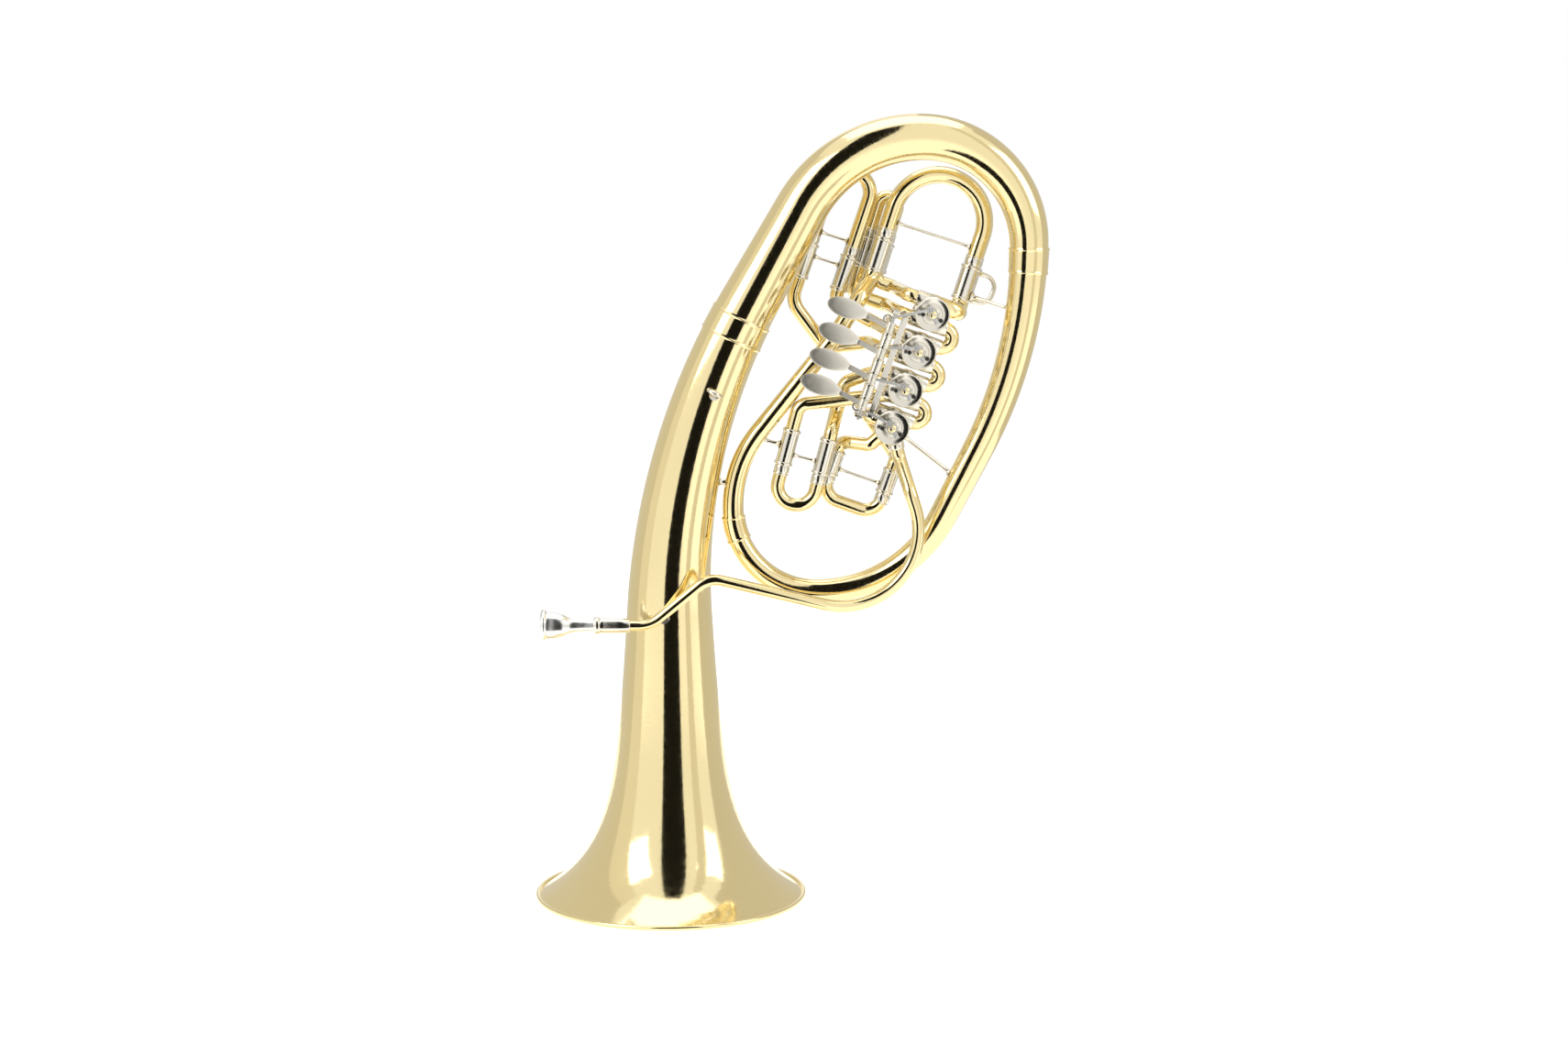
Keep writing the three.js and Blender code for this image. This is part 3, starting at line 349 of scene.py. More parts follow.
# ------------------------------------------------------------------ the conical body
def body_route():
    """The middle line of the whole conical body, from the bell's mouth to the tuning slide."""
    lean = math.radians(29)
    corner = 268 + 600 * math.tan(lean / 2)
    out, left, _ = legs_of("main")
    return rounded([
        ((0, 0, 0), 0),
        ((0, 0, corner), 600),
        (((708.8 - corner) * math.tan(lean), 0, 708.8), 125),
        ((331, 0, 708.8), 98),
        ((331, 0, 511), 415),
        ((218.1, 0, 289.5), 130),
        ((59.5, 0, 289.5), 78),
        ((59.5, 0, 408.1), 110),
        ((150.5, 0, 522.6), 20),
        ((176, 12, 561), 20),
        (left - out * 40, 16),
        (left, 0),
    ])


BODY = body_route()


BELL_RADIUS = 127.5
TAPER, TAPER_LENGTH = 50, 1010
THROAT, THROAT_LENGTH = 19.3, 149
FLARE_LENGTH = 38
DROP = 1.6


def body_radius(s):
    """A taper, a throat and a flare, each size e^(-s / length), less a drop. The flare's size is what
    brings the sum to the bell's radius at the mouth."""
    flare = BELL_RADIUS - TAPER - THROAT + DROP
    return (TAPER * np.exp(-s / TAPER_LENGTH) + THROAT * np.exp(-s / THROAT_LENGTH)
            + flare * np.exp(-s / FLARE_LENGTH) - DROP)


def body_piece(name, start, end, wall, sides, finishes):
    """A stretch of the body, cut more finely towards its mouth if it starts there."""
    s_extra = start + (end - start) * np.linspace(0, 1, 40) ** 2 if start < 10 else ()
    grid = pipe(BODY, start, end, body_radius, wall, sides, 5.0, s_extra)
    built(f"{name}_surface", [(grid, 0)], finishes, "body", [name])


def ferrule(name, middle, finishes, sides=72):
    """A sleeve over a joint of the body, with a raised bead near each edge."""
    start, end = middle - FERRULE / 2, middle + FERRULE / 2

    def outer(s):
        beads = sum(np.exp(-(((s - c) / 0.9) ** 2)) for c in (start + 1.6, end - 1.6))
        return body_radius(s) + FIT + 0.55 + 0.6 * beads

    grid = pipe(BODY, start, end, outer, 0.9, sides, 0.4)
    built(f"{name}_surface", [(grid, 0)], finishes, "body", [name])


def coped(grid, k, ring, valve_side):
    """Moves one ring onto the casing's wall: u becomes the root of COPE^2 - w^2, to its own side."""
    points, closed = grid
    rel = points[ring] - ROW_START
    u = rel[..., 0] * math.cos(ROW_LEAN) - rel[..., 2] * math.sin(ROW_LEAN)
    w = rel[..., 0] * math.sin(ROW_LEAN) + rel[..., 2] * math.cos(ROW_LEAN)
    wall = np.sqrt(np.clip(COPE**2 - (w - valve_at(k)) ** 2, 4.0, None))
    points[ring] = row(valve_side * wall, rel[..., 1], w)
    return points, closed


def first_rings(grid):
    """The two rings at the start of a pipe: its first outer and its last inner one."""
    return [0, grid[0].shape[0] - 1]


def sleeved_run(corners, name, port=None):
    """A run of tube that ends in a slide's sleeve, as (brass run, nickel sleeve, rings)."""
    slide = SLIDES[name]
    route = rounded(corners)
    length = length_of(route)
    tube = tube_of(name)
    start = length - slide["sleeve"]
    bore = sleeve_bore(name)
    run = pipe(route, 0, start + 3, tube, SHEET)
    if port is not None:
        for ring in first_rings(run):
            coped(run, port[0], ring, port[1])
    sleeve = pipe(route, start, length, bore + 0.7, 0.7, 32, 4.0)
    beads = [collar(route, start - 0.4, start + 3.2, bore + 0.6, 0.8),
             collar(route, length - 3.4, length, bore + 0.6, 0.9)]
    return [(run, 0), (sleeve, 1)] + [(bead, 1) for bead in beads]


def tubing(name, left_corners, right_corners, left_port, right_port, finishes):
    out, left, right = legs_of(name)
    sleeve = SLIDES[name]["sleeve"]
    parts = sleeved_run([*left_corners, (left, 0)], name, left_port)
    parts += sleeved_run([*right_corners, (right, 0)], name, right_port)
    skin = sleeve_bore(name) + 0.5
    brace = strut(left - out * sleeve / 3, right - out * sleeve / 3, skin, skin, 1.4, 2.2)
    parts.append((brace, 1))
    built(f"{name}_tubing_surface", parts, finishes, "body", [f"{name}_tubing"])


def slide(name, brace_at, body, finishes):
    """A pull-out crook: two thin legs, a bow with a ferrule at each end and a brace on the wide ones."""
    size = SLIDES[name]
    out, left, right = legs_of(name)
    inside = size["sleeve"] - 3
    tube = tube_of(name)
    top = size["reach"] + size["bend"]
    route = rounded([
        (left - out * inside, 0), (left + out * top, size["bend"]),
        (right + out * top, size["bend"]), (right - out * inside, 0),
    ])
    length = length_of(route)
    near, far = inside + 0.5, length - inside - 0.5
    legs = pipe(route, 0, length, tube - FIT, SHEET)
    bow = pipe(route, near + 1, far - 1, tube, 1.0)
    ends = [collar(route, near, near + 7, tube + 0.1, 0.5), collar(route, far - 7, far, tube + 0.1, 0.5)]
    rims = [collar(route, near + 6.4, near + 8.6, tube, 0.75),
            collar(route, far - 8.6, far - 6.4, tube, 0.75)]
    parts = [(legs, 1), (bow, 0)] + [(ring, 1) for ring in ends + rims]
    if brace_at:
        parts.append((strut(left + out * brace_at, right + out * brace_at, tube, tube, 1.4, 2.2), 1))
    built(f"{name}_slide_surface", parts, finishes, body, [f"{name}_slide"])


# ------------------------------------------------------------------ finishes
def finish(name, colour, rough, metal=1.0, tint=0.06, grain=260.0, bump=0.03, coat=0.0, wear=0.03):
    """A procedural finish: its colour, its roughness and a fine bump drift with noise on the object's own
    coordinates, the colour between tint darker and the full colour, the roughness by wear each way."""
    material = bpy.data.materials.new(name)
    material.use_nodes = True
    nodes, links = material.node_tree.nodes, material.node_tree.links
    shader = nodes["Principled BSDF"]
    shader.inputs["Metallic"].default_value = metal
    shader.inputs["Coat Weight"].default_value = coat
    shader.inputs["Coat Roughness"].default_value = 0.06
    place = nodes.new("ShaderNodeTexCoord")

    def noise(scale, detail):
        node = nodes.new("ShaderNodeTexNoise")
        node.inputs["Scale"].default_value = scale
        node.inputs["Detail"].default_value = detail
        links.new(place.outputs["Object"], node.inputs["Vector"])
        return node

    cloud, speck = noise(9.0, 3.0), noise(grain, 2.0)
    shade = nodes.new("ShaderNodeMix")
    shade.data_type = "RGBA"
    full = np.array(colour)
    shade.inputs["A"].default_value = (*(full * (1 - tint)), 1)
    shade.inputs["B"].default_value = (*np.minimum(full * (1 + tint / 2), 1), 1)
    links.new(cloud.outputs["Fac"], shade.inputs["Factor"])
    links.new(shade.outputs["Result"], shader.inputs["Base Color"])
    spread = nodes.new("ShaderNodeMapRange")
    spread.inputs["From Min"].default_value = 0.3
    spread.inputs["From Max"].default_value = 0.7
    spread.inputs["To Min"].default_value = max(rough - wear, 0.02)
    spread.inputs["To Max"].default_value = rough + wear
    links.new(speck.outputs["Fac"], spread.inputs["Value"])
    links.new(spread.outputs["Result"], shader.inputs["Roughness"])
    relief = nodes.new("ShaderNodeBump")
    relief.inputs["Strength"].default_value = bump
    relief.inputs["Distance"].default_value = 0.0006
    links.new(speck.outputs["Fac"], relief.inputs["Height"])
    links.new(relief.outputs["Normal"], shader.inputs["Normal"])
    return material


def finish_named(name):
    """The finish of that name, made once from the scene's settings."""
    made = bpy.data.materials.get(name)
    if made:
        return made
    look = bpy.context.scene.horn_finishes
    makers = {
        "lacquered brass": lambda: finish(name, look.brass, look.brass_gloss, tint=0.05, coat=0.25),
        "hammered brass": lambda: finish(name, look.brass, look.brass_gloss, tint=0.05, bump=0.04, coat=0.25),
        "nickel silver": lambda: finish(name, look.nickel, 0.16, tint=0.08, grain=500.0),
        "satin nickel": lambda: finish(name, look.nickel, 0.36, tint=0.05, grain=500.0),
        "silver plate": lambda: finish(name, look.silver, 0.24, tint=0.05),
        "bright steel": lambda: finish(name, look.steel, 0.26, tint=0.15, grain=900.0, wear=0.08),
        "bumper rubber": lambda: finish(
            name, (0.03, 0.03, 0.028), 0.7, 0.0, tint=0.4, grain=1500.0, bump=0.09),
    }
    return makers[name]()


def brass_and_nickel():
    return [finish_named("lacquered brass"), finish_named("nickel silver")]


# ------------------------------------------------------------------ settings
class HornBody(bpy.types.PropertyGroup):
    bell_wall: bpy.props.FloatProperty(
        name="Bell wall", description="Sheet of the bell and stem, in mm", default=1.2)
    bow_wall: bpy.props.FloatProperty(name="Bow wall", description="Sheet of the bows, in mm", default=0.6)
    stem_sides: bpy.props.IntProperty(name="Stem sides", description="Faces round the stem", default=128)
    bow_sides: bpy.props.IntProperty(name="Bow sides", description="Faces round the bows", default=72)


class HornFinishes(bpy.types.PropertyGroup):
    brass: bpy.props.FloatVectorProperty(
        name="Brass", description="Lacquered yellow brass", subtype="COLOR", default=(0.92, 0.77, 0.42))
    brass_gloss: bpy.props.FloatProperty(
        name="Brass roughness", description="How soft reflections are", default=0.10, subtype="FACTOR")
    nickel: bpy.props.FloatVectorProperty(
        name="Nickel silver", description="Casings, levers and sleeves", subtype="COLOR",
        default=(0.80, 0.76, 0.66))
    silver: bpy.props.FloatVectorProperty(
        name="Silver plate", description="Mouthpiece", subtype="COLOR", default=(0.90, 0.89, 0.86))
    steel: bpy.props.FloatVectorProperty(
        name="Steel", description="Stop arms and links", subtype="COLOR", default=(0.58, 0.57, 0.55))


class HornStage(bpy.types.PropertyGroup):
    elevation: bpy.props.FloatProperty(
        name="Elevation", description="Camera above the horizon", default=math.radians(8), subtype="ANGLE")
    distance: bpy.props.FloatProperty(name="Distance", description="Camera to horn", default=2.6, unit="LENGTH")
    lens: bpy.props.FloatProperty(name="Lens", description="Focal length in mm", default=64.3)
    fill: bpy.props.FloatProperty(name="Fill", description="Strength of the light from all round", default=0.55)


# ------------------------------------------------------------------ operators
class MakeBell(bpy.types.Operator):
    """Bell, stem and the wire bead in its rim: the body's radius law turned about the body's route"""

    bl_idname = "horn.make_bell"
    bl_label = "Bell and bead"

    def execute(self, context):
        size = context.scene.horn_body
        brass = [finish_named("hammered brass")]
        body_piece("bell", 1.3, BELL_JOINT - JOINT_GAP, size.bell_wall, size.stem_sides, brass)
        t = np.linspace(0, 2 * math.pi, 20, endpoint=False)
        wire = np.stack([125.45 + 2.0 * np.cos(t), 2.0 + 2.0 * np.sin(t)], axis=1)
        bead = turned((0, 0, 10), (0, 0, 0), wire, size.stem_sides)
        built("bell_rim_bead_surface", [(bead, 0)], [finish_named("lacquered brass")], "body",
              ["bell_rim_bead"])
        return {"FINISHED"}


class MakeBows(bpy.types.Operator):
    """Top bow, branch and the ferrules over their joints, by the same radius law"""

    bl_idname = "horn.make_bows"
    bl_label = "Bows and ferrules"

    def execute(self, context):
        size = context.scene.horn_body
        brass = [finish_named("lacquered brass")]
        for name, start, end in (("top_bow", BELL_JOINT, BRANCH_JOINT), ("branch", BRANCH_JOINT, LOOP_JOINT)):
            body_piece(name, start + JOINT_GAP, end - JOINT_GAP, size.bow_wall, size.bow_sides, brass)
        ferrule("bell_ferrule", BELL_JOINT, brass, 96)
        ferrule("branch_ferrule", BRANCH_JOINT, brass)
        ferrule("loop_ferrule", LOOP_JOINT, brass)
        return {"FINISHED"}


class MakeReturn(bpy.types.Operator):
    """Return tube from the loop to the tuning slide, the outlet tube and the three knuckles"""

    bl_idname = "horn.make_return"
    bl_label = "Return and outlet"

    def execute(self, context):
        finishes = brass_and_nickel()
        end = length_of(BODY)
        start = end - SLIDES["main"]["sleeve"]
        bore = sleeve_bore("main")
        def outer(s):
            return np.maximum(MAIN_TUBE, body_radius(s))

        run = pipe(BODY, LOOP_JOINT + JOINT_GAP, start + 3, outer, SHEET)
        sleeve = pipe(BODY, start, end, bore + 0.7, 0.7, 32, 4.0)
        beads = [collar(BODY, start - 0.4, start + 3.2, bore + 0.6, 0.8),
                 collar(BODY, end - 3.4, end, bore + 0.6, 0.9)]
        built("return_tube_surface", [(run, 0), (sleeve, 1)] + [(b, 1) for b in beads], finishes, "body",
              ["return_tube"])
        out, _, right = legs_of("main")
        outlet = port_at(3, 1)
        run = sleeved_run([(row(10, 0, outlet), 0), (row(23.5, 0, outlet), 10), (right - out * 44.3, 10),
                           (right, 0)], "main", (3, 1))
        built("main_outlet_surface", run, finishes, "body", ["main_outlet_tube"])
        for k in range(3):
            low, high = port_at(k, 1), port_at(k + 1, -1)
            bend = (high - low) / 2
            route = rounded([(row(10, 0, low), 0), (row(26, 0, low), bend), (row(26, 0, high), bend),
                             (row(10, 0, high), 0)])
            knuckle = pipe(route, 0, length_of(route), VALVE_TUBE, SHEET)
            middle = knuckle[0].shape[0] // 2
            for ring in first_rings(knuckle):
                coped(knuckle, k, ring, 1)
            for ring in (middle - 1, middle):
                coped(knuckle, k + 1, ring, 1)
            built(f"knuckle_{k + 1}_surface", [(knuckle, 0)], finishes, "body", [f"knuckle_{k + 1}"])
        return {"FINISHED"}


class MakeTubing(bpy.types.Operator):
    """Fixed tubing of the four valves: two runs from the ports to the sleeves, and a brace"""

    bl_idname = "horn.make_tubing"
    bl_label = "Valve tubing"

    def execute(self, context):
        finishes = brass_and_nickel()
        o1, l1, r1 = legs_of("valve_1")
        o2, l2, r2 = legs_of("valve_2")
        o3, l3, r3 = legs_of("valve_3")
        o4, l4, r4 = legs_of("valve_4")
        top = r1 - o1 * 36
        tubing("valve_1",
               [((197, 0, 436), 0), ((186, 0, 426.5), 7), (l1 - o1 * 33, 9)],
               [(row(-10, 0, 2), 0), (row(-25, 0, 2), 8), (row(-25, 31, 2), 8),
                ((top[0], 31, top[2]), 7), (top, 7)],
               None, (0, -1), finishes)
        tubing("valve_2",
               [(row(-10, 0, port_at(1, -1)), 0), (l2 - o2 * 58, 12)],
               [(row(-10, 0, port_at(1, 1)), 0), (row(-25.5, 0, port_at(1, 1)), 7), ((186, 15, 491.5), 7),
                ((163, 15, 483), 10), ((154.9, 15, 455), 8), (r2 - o2 * 41, 8)],
               (1, -1), (1, -1), finishes)
        tubing("valve_3",
               [(row(-10, 0, port_at(2, -1)), 0), (row(-30, 0, port_at(2, -1)), 8),
                (row(-44, 31, port_at(2, -1)), 10),
                ((146, 31, 514), 20), (l3 - o3 * 57, 22)],
               [(row(-10, 0, port_at(2, 1)), 0), (row(-30, 0, port_at(2, 1)), 8),
                (row(-44, 31, port_at(2, 1)), 10),
                (r3 - o3 * 45, 11)],
               (2, -1), (2, -1), finishes)
        tubing("valve_4",
               [(row(-10, 0, port_at(3, -1)), 0), (row(-26, 0, port_at(3, -1)), 8),
                (row(-38, 48, port_at(3, -1)), 10),
                (l4 - o4 * 54.3, 10)],
               [(row(-10, 0, port_at(3, 1)), 0), (row(-26, 0, port_at(3, 1)), 8),
                (row(-38, 48, port_at(3, 1)), 8),
                (r4 - o4 * 36.6, 8)],
               (3, -1), (3, -1), finishes)
        return {"FINISHED"}


class MakeSlides(bpy.types.Operator):
    """The four valve slides and the main tuning slide, each a crook that pulls out of its sleeves"""

    bl_idname = "horn.make_slides"
    bl_label = "Slides"

    def execute(self, context):
        finishes = brass_and_nickel()
        for k, brace in zip(VALVES, (0, 0, 12, 0)):
            slide(f"valve_{k + 1}", brace, f"valve_{k + 1}_slide", finishes)
        slide("main", 16, "main_slide", finishes)
        return {"FINISHED"}


class MakeValves(bpy.types.Operator):
    """Casings with port collars and bumpers, rear caps, rotors and stop arms, all turned about y"""

    bl_idname = "horn.make_valves"
    bl_label = "Rotary valves"

    def execute(self, context):
        nickel, brass = finish_named("nickel silver"), finish_named("lacquered brass")
        steel, rubber = finish_named("bright steel"), finish_named("bumper rubber")
        for k in VALVES:
            axis = row(0, 0, valve_at(k))
            self.casing(k, axis, [nickel, rubber])
            self.rear_cap(k, axis, [brass])
            self.rotor(k, axis, [brass, steel])
            self.stop_arm(k, [steel])
        return {"FINISHED"}

    def casing(self, k, axis, finishes):
        front, rear = CASING_FRONT, CASING_REAR
        shell = turned((0, 1, 0), axis, [
            (3.2, front - 1.5), (5.6, front - 1.5), (6.2, front - 0.9), (6.4, front - 0.1), (8.8, front),
            (9.1, front + 0.35), (9.5, front + 0.35), (9.8, front), (13.6, front), (14.2, front - 0.3),
            (15.4, front - 0.3), (16.0, front + 0.3), (16.0, front + 2.2), (15.5, front + 2.6),
            (15.5, front + 3.2), (15.9, front + 3.6), (15.9, rear - 3.4), (15.5, rear - 3.0),
            (15.5, rear - 2.4), (16.0, rear - 2.0),
            (16.0, rear), (14.4, rear), (14.4, front + 3), (3.2, front + 3),
        ], 72)
        parts = [(shell, 0)]
        for side_u, side_w in ((-1, -1), (-1, 1), (1, -1), (1, 1)):
            if k == 0 and side_w < 0:
                continue
            centre = row(side_u * 10, 0, port_at(k, side_w))
            way = row(side_u * 11, 0, port_at(k, side_w)) - centre
            profile = [(6.4, 0), (7.6, 0), (7.6, 7.2), (7.3, 7.8), (6.6, 8.0), (6.4, 7.8)]
            ring = turned(way, centre, profile, 40)
            for number in (0, 1):
                coped(ring, k, number, side_u)
            parts.append((ring, 0))
        angle = math.radians(107.4)
        for side in (-1, 1):
            u, w = side * 9 * math.sin(angle), valve_at(k) + 9 * math.cos(angle)
            parts.append((rod(row(u, front + 0.5, w), row(u, front - 2.6, w), 2.0), 0))
            parts.append((rod(row(u, front - 2.4, w), row(u, STOP_ARM_Y - 1.5, w), 1.95), 1))
        built(f"valve_{k + 1}_casing_surface", parts, finishes, "body",
              [f"valve_{k + 1}_casing"])

    def rear_cap(self, k, axis, finishes):
        base = CASING_REAR + FIT
        cap = turned((0, 1, 0), axis, [
            (13.4, base), (16.5, base), (16.8, base + 0.4), (16.8, base + 1.4), (16.2, base + 1.8),
            (16.2, base + 2.3), (16.8, base + 2.7), (16.8, base + 3.6), (16.2, base + 4.4), (15.0, base + 4.9),
            (11.4, base + 5.0), (11.0, base + 4.6), (10.4, base + 4.6), (10.0, base + 5.0), (5.2, base + 5.1),
            (4.4, base + 5.9), (3.4, base + 6.2), (0.6, base + 6.2), (0.6, base + 4.4), (13.4, base + 3.4),
        ], 72)
        built(f"valve_{k + 1}_rear_cap_surface", [(cap, 0)], finishes, "body", [f"valve_{k + 1}_rear_cap"])

    def rotor(self, k, axis, finishes):
        head = STOP_ARM_Y - 1.4
        body = turned((0, 1, 0), axis, [
            (0.4, head - 1.6), (1.8, head - 1.5), (3.0, head - 1.1), (3.6, head - 0.5), (3.6, head),
            (2.8, head), (2.8, -14.7), (13.9, -14.7), (13.9, 14), (2.6, 14), (2.6, 19), (0.4, 19),
        ], 40)
        w = valve_at(k)
        slot = slab(bar_outline(-2.6, w, 2.6, w, 0.35, 12), head - 1.75, head - 1.2, 0.1)
        built(f"valve_{k + 1}_rotor_surface", [(body, 0), (slot, 1)], finishes, f"rotor_{k + 1}",
              [f"valve_{k + 1}_rotor"])

    def stop_arm(self, k, finishes):
        low, high = STOP_ARM_Y - 1.1, STOP_ARM_Y + 1.1
        w = valve_at(k)
        t = math.radians(-45)
        du, dw = math.sin(t), math.cos(t)
        hub = turned((0, 1, 0), row(0, 0, w), [(3.15, low - 0.1), (4.7, low - 0.1), (5.0, low + 0.2),
                                               (5.0, high - 0.3), (4.7, high), (3.15, high)], 40)
        arm = slab(bar_outline(3.9 * du, w + 3.9 * dw, CRANK * du, w + CRANK * dw, 2.5), low, high, 0.3)
        tail = slab(bar_outline(-4.4 * du, w - 4.4 * dw, -8.3 * du, w - 8.3 * dw, 1.7), low, high, 0.3)
        tip = row(CRANK * du, 0, w + CRANK * dw)
        pin = rod(tip + np.array([0, high - 0.5, 0]), tip + np.array([0, LINK_Y - 2.2, 0]), 1.3, 20)
        built(f"valve_{k + 1}_stop_arm_surface", [(p, 0) for p in (hub, arm, tail, pin)], finishes,
              f"rotor_{k + 1}", [f"valve_{k + 1}_stop_arm"])


class MakeLevers(bpy.types.Operator):
    """Levers with drop-shaped paddles, their links, the axle with its spring barrels, and its frame"""

    bl_idname = "horn.make_levers"
    bl_label = "Levers"

    def execute(self, context):
        nickel, steel = finish_named("nickel silver"), finish_named("bright steel")
        half = math.asin(CRANK * math.sqrt(0.5) / LEVER_ARM)
        self.tip = (AXLE_U - LEVER_ARM * math.sin(half), AXLE_Y + LEVER_ARM * math.cos(half))
        for k in VALVES:
            self.lever(k, [finish_named("satin nickel")])
            self.link(k, [steel])
        self.axle([nickel, steel])
        self.frame_of_axle([nickel])
        return {"FINISHED"}

    def lever(self, k, finishes):
        w = lever_at(k)
        along_w = row(0, 0, 1) - row(0, 0, 0)
        hub = turned(along_w, row(AXLE_U, AXLE_Y, w - HUB_LENGTH / 2), [
            (1.9, 0), (3.9, 0), (4.2, 0.4), (4.2, 2.0), (3.8, 2.4), (3.8, 7.6), (4.2, 8.0), (4.2, 9.6),
            (3.9, 10), (1.9, 10)], 36)
        tip_u, tip_y = self.tip
        bar = bar_outline(AXLE_U - 4, w + 0.6, AXLE_U - 22, w + 3.4, 2.5)
        shank = slab(bar, AXLE_Y - 1.2, AXLE_Y + 1.2, 0.5)
        t = np.linspace(0, 2 * math.pi, 72, endpoint=False)
        reach = 20 * np.cos(t)
        width = np.sin(t) * (8.9 - 0.05 * reach - 0.008 * reach**2 * (reach > 0))
        drop = np.stack([AXLE_U - 41 + reach * 1.02, w + 4 + width], axis=1)
        paddle = slab(drop, AXLE_Y - 1.3, AXLE_Y + 0.7, 0.7, 0.9)
        tilt = math.radians(3)
        grid = paddle[0]
        rel = np.linalg.norm(grid - row(AXLE_U, AXLE_Y, w), axis=-1)
        grid[..., 1] -= 0.5 + (rel - 41) * math.tan(tilt) * 0.9
        finger = rod(row(AXLE_U - 0.4, AXLE_Y + 2, w), row(tip_u, tip_y - 4.4, arm_at(k)), 1.9)
        ball = rod(row(tip_u, tip_y - 5.4, arm_at(k)), row(tip_u, tip_y - 2.6, arm_at(k)), 2.4, 24, 0.9)
        pin = rod(row(tip_u, tip_y - 5, arm_at(k)), row(tip_u, tip_y + 2.6, arm_at(k)), 1.3)
        parts = [(p, 0) for p in (hub, shank, paddle, finger, ball, pin)]
        name = f"lever_{k + 1}"
        built(f"{name}_surface", parts, finishes, name, [name])

    def link(self, k, finishes):
        rest = CRANK * math.sqrt(0.5)
        crank = (-rest, valve_at(k) + rest)
        lever = (self.tip[0], arm_at(k) - (CRANK - rest) / 2)
        a = math.atan2(crank[1] - lever[1], crank[0] - lever[0])
        bar = slab(bar_outline(lever[0] + 3.6 * math.cos(a), lever[1] + 3.6 * math.sin(a),
                               crank[0] - 2.4 * math.cos(a), crank[1] - 2.4 * math.sin(a), 1.2),
                   LINK_Y - 0.9, LINK_Y + 0.9, 0.4)
        eyes = [turned((0, 1, 0), row(u, LINK_Y, w), [
            (bore, -1.2), (bore + 1.3, -1.2), (bore + 1.6, -0.8),
            (bore + 1.6, 0.8), (bore + 1.3, 1.2), (bore, 1.2)
        ], 36) for (u, w), bore in ((crank, 1.72), (lever, 2.75))]
        parts = [(bar, 0)] + [(eye, 0) for eye in eyes]
        built(f"lever_{k + 1}_link_surface", parts, finishes, f"link_{k + 1}", [f"lever_{k + 1}_link"])

    def axle(self, finishes):
        start, end = arm_at(0) - 5.4, arm_at(3) + 6.4
        along_w = row(0, 0, 1) - row(0, 0, 0)
        parts = [(rod(row(AXLE_U, AXLE_Y, start - 5), row(AXLE_U, AXLE_Y, end + 5), 1.55), 1)]
        for k in range(3):
            low, high = lever_at(k) + HUB_LENGTH / 2 + 0.45, lever_at(k + 1) - HUB_LENGTH / 2 - 0.45
            x = np.linspace(0, 1, 60)
            coils = 4.7 + 0.35 * np.abs(np.sin(x * math.pi * 6))
            ends = np.where((x < 0.14) | (x > 0.86), 5.15, coils)
            profile = np.stack([np.concatenate([[1.8], ends, [1.8]]),
                                np.concatenate([[0], x * (high - low), [high - low]])], axis=1)
            parts.append((turned(along_w, row(AXLE_U, AXLE_Y, low), profile, 36), 0))
        built("lever_axle_surface", parts, finishes, "body", ["lever_axle"])

    def frame_of_axle(self, finishes):
        start, end = arm_at(0) - 5.4, arm_at(3) + 6.4
        parts = []
        for w in (start - 1.5, end + 1.5):
            parts.append((slab(block_outline(AXLE_U - 3.9, AXLE_U + 3.9, w - 1.45, w + 1.45, 0.7),
                               AXLE_Y - 3.9, -10.6, 0.6), 0))
            parts.append((slab(block_outline(AXLE_U - 1, -21, w - 1.45, w + 1.45, 0.7), -13.4, -10.6, 0.4), 0))
        parts.append((slab(block_outline(-24.9, -19.1, start - 2.9, end + 2.9, 1.4), -13.45, -10.55, 0.5), 0))
        seats = [(24.9, 29.9), (61.9, 66.9), (80.3, 85.3)]
        for low, high in seats:
            parts.append((slab(block_outline(-24.9, -19.1, low, high, 1.2), -11.5, -6.2, 0.3), 0))
        built("lever_frame_surface", parts, finishes, "body", ["lever_frame"])


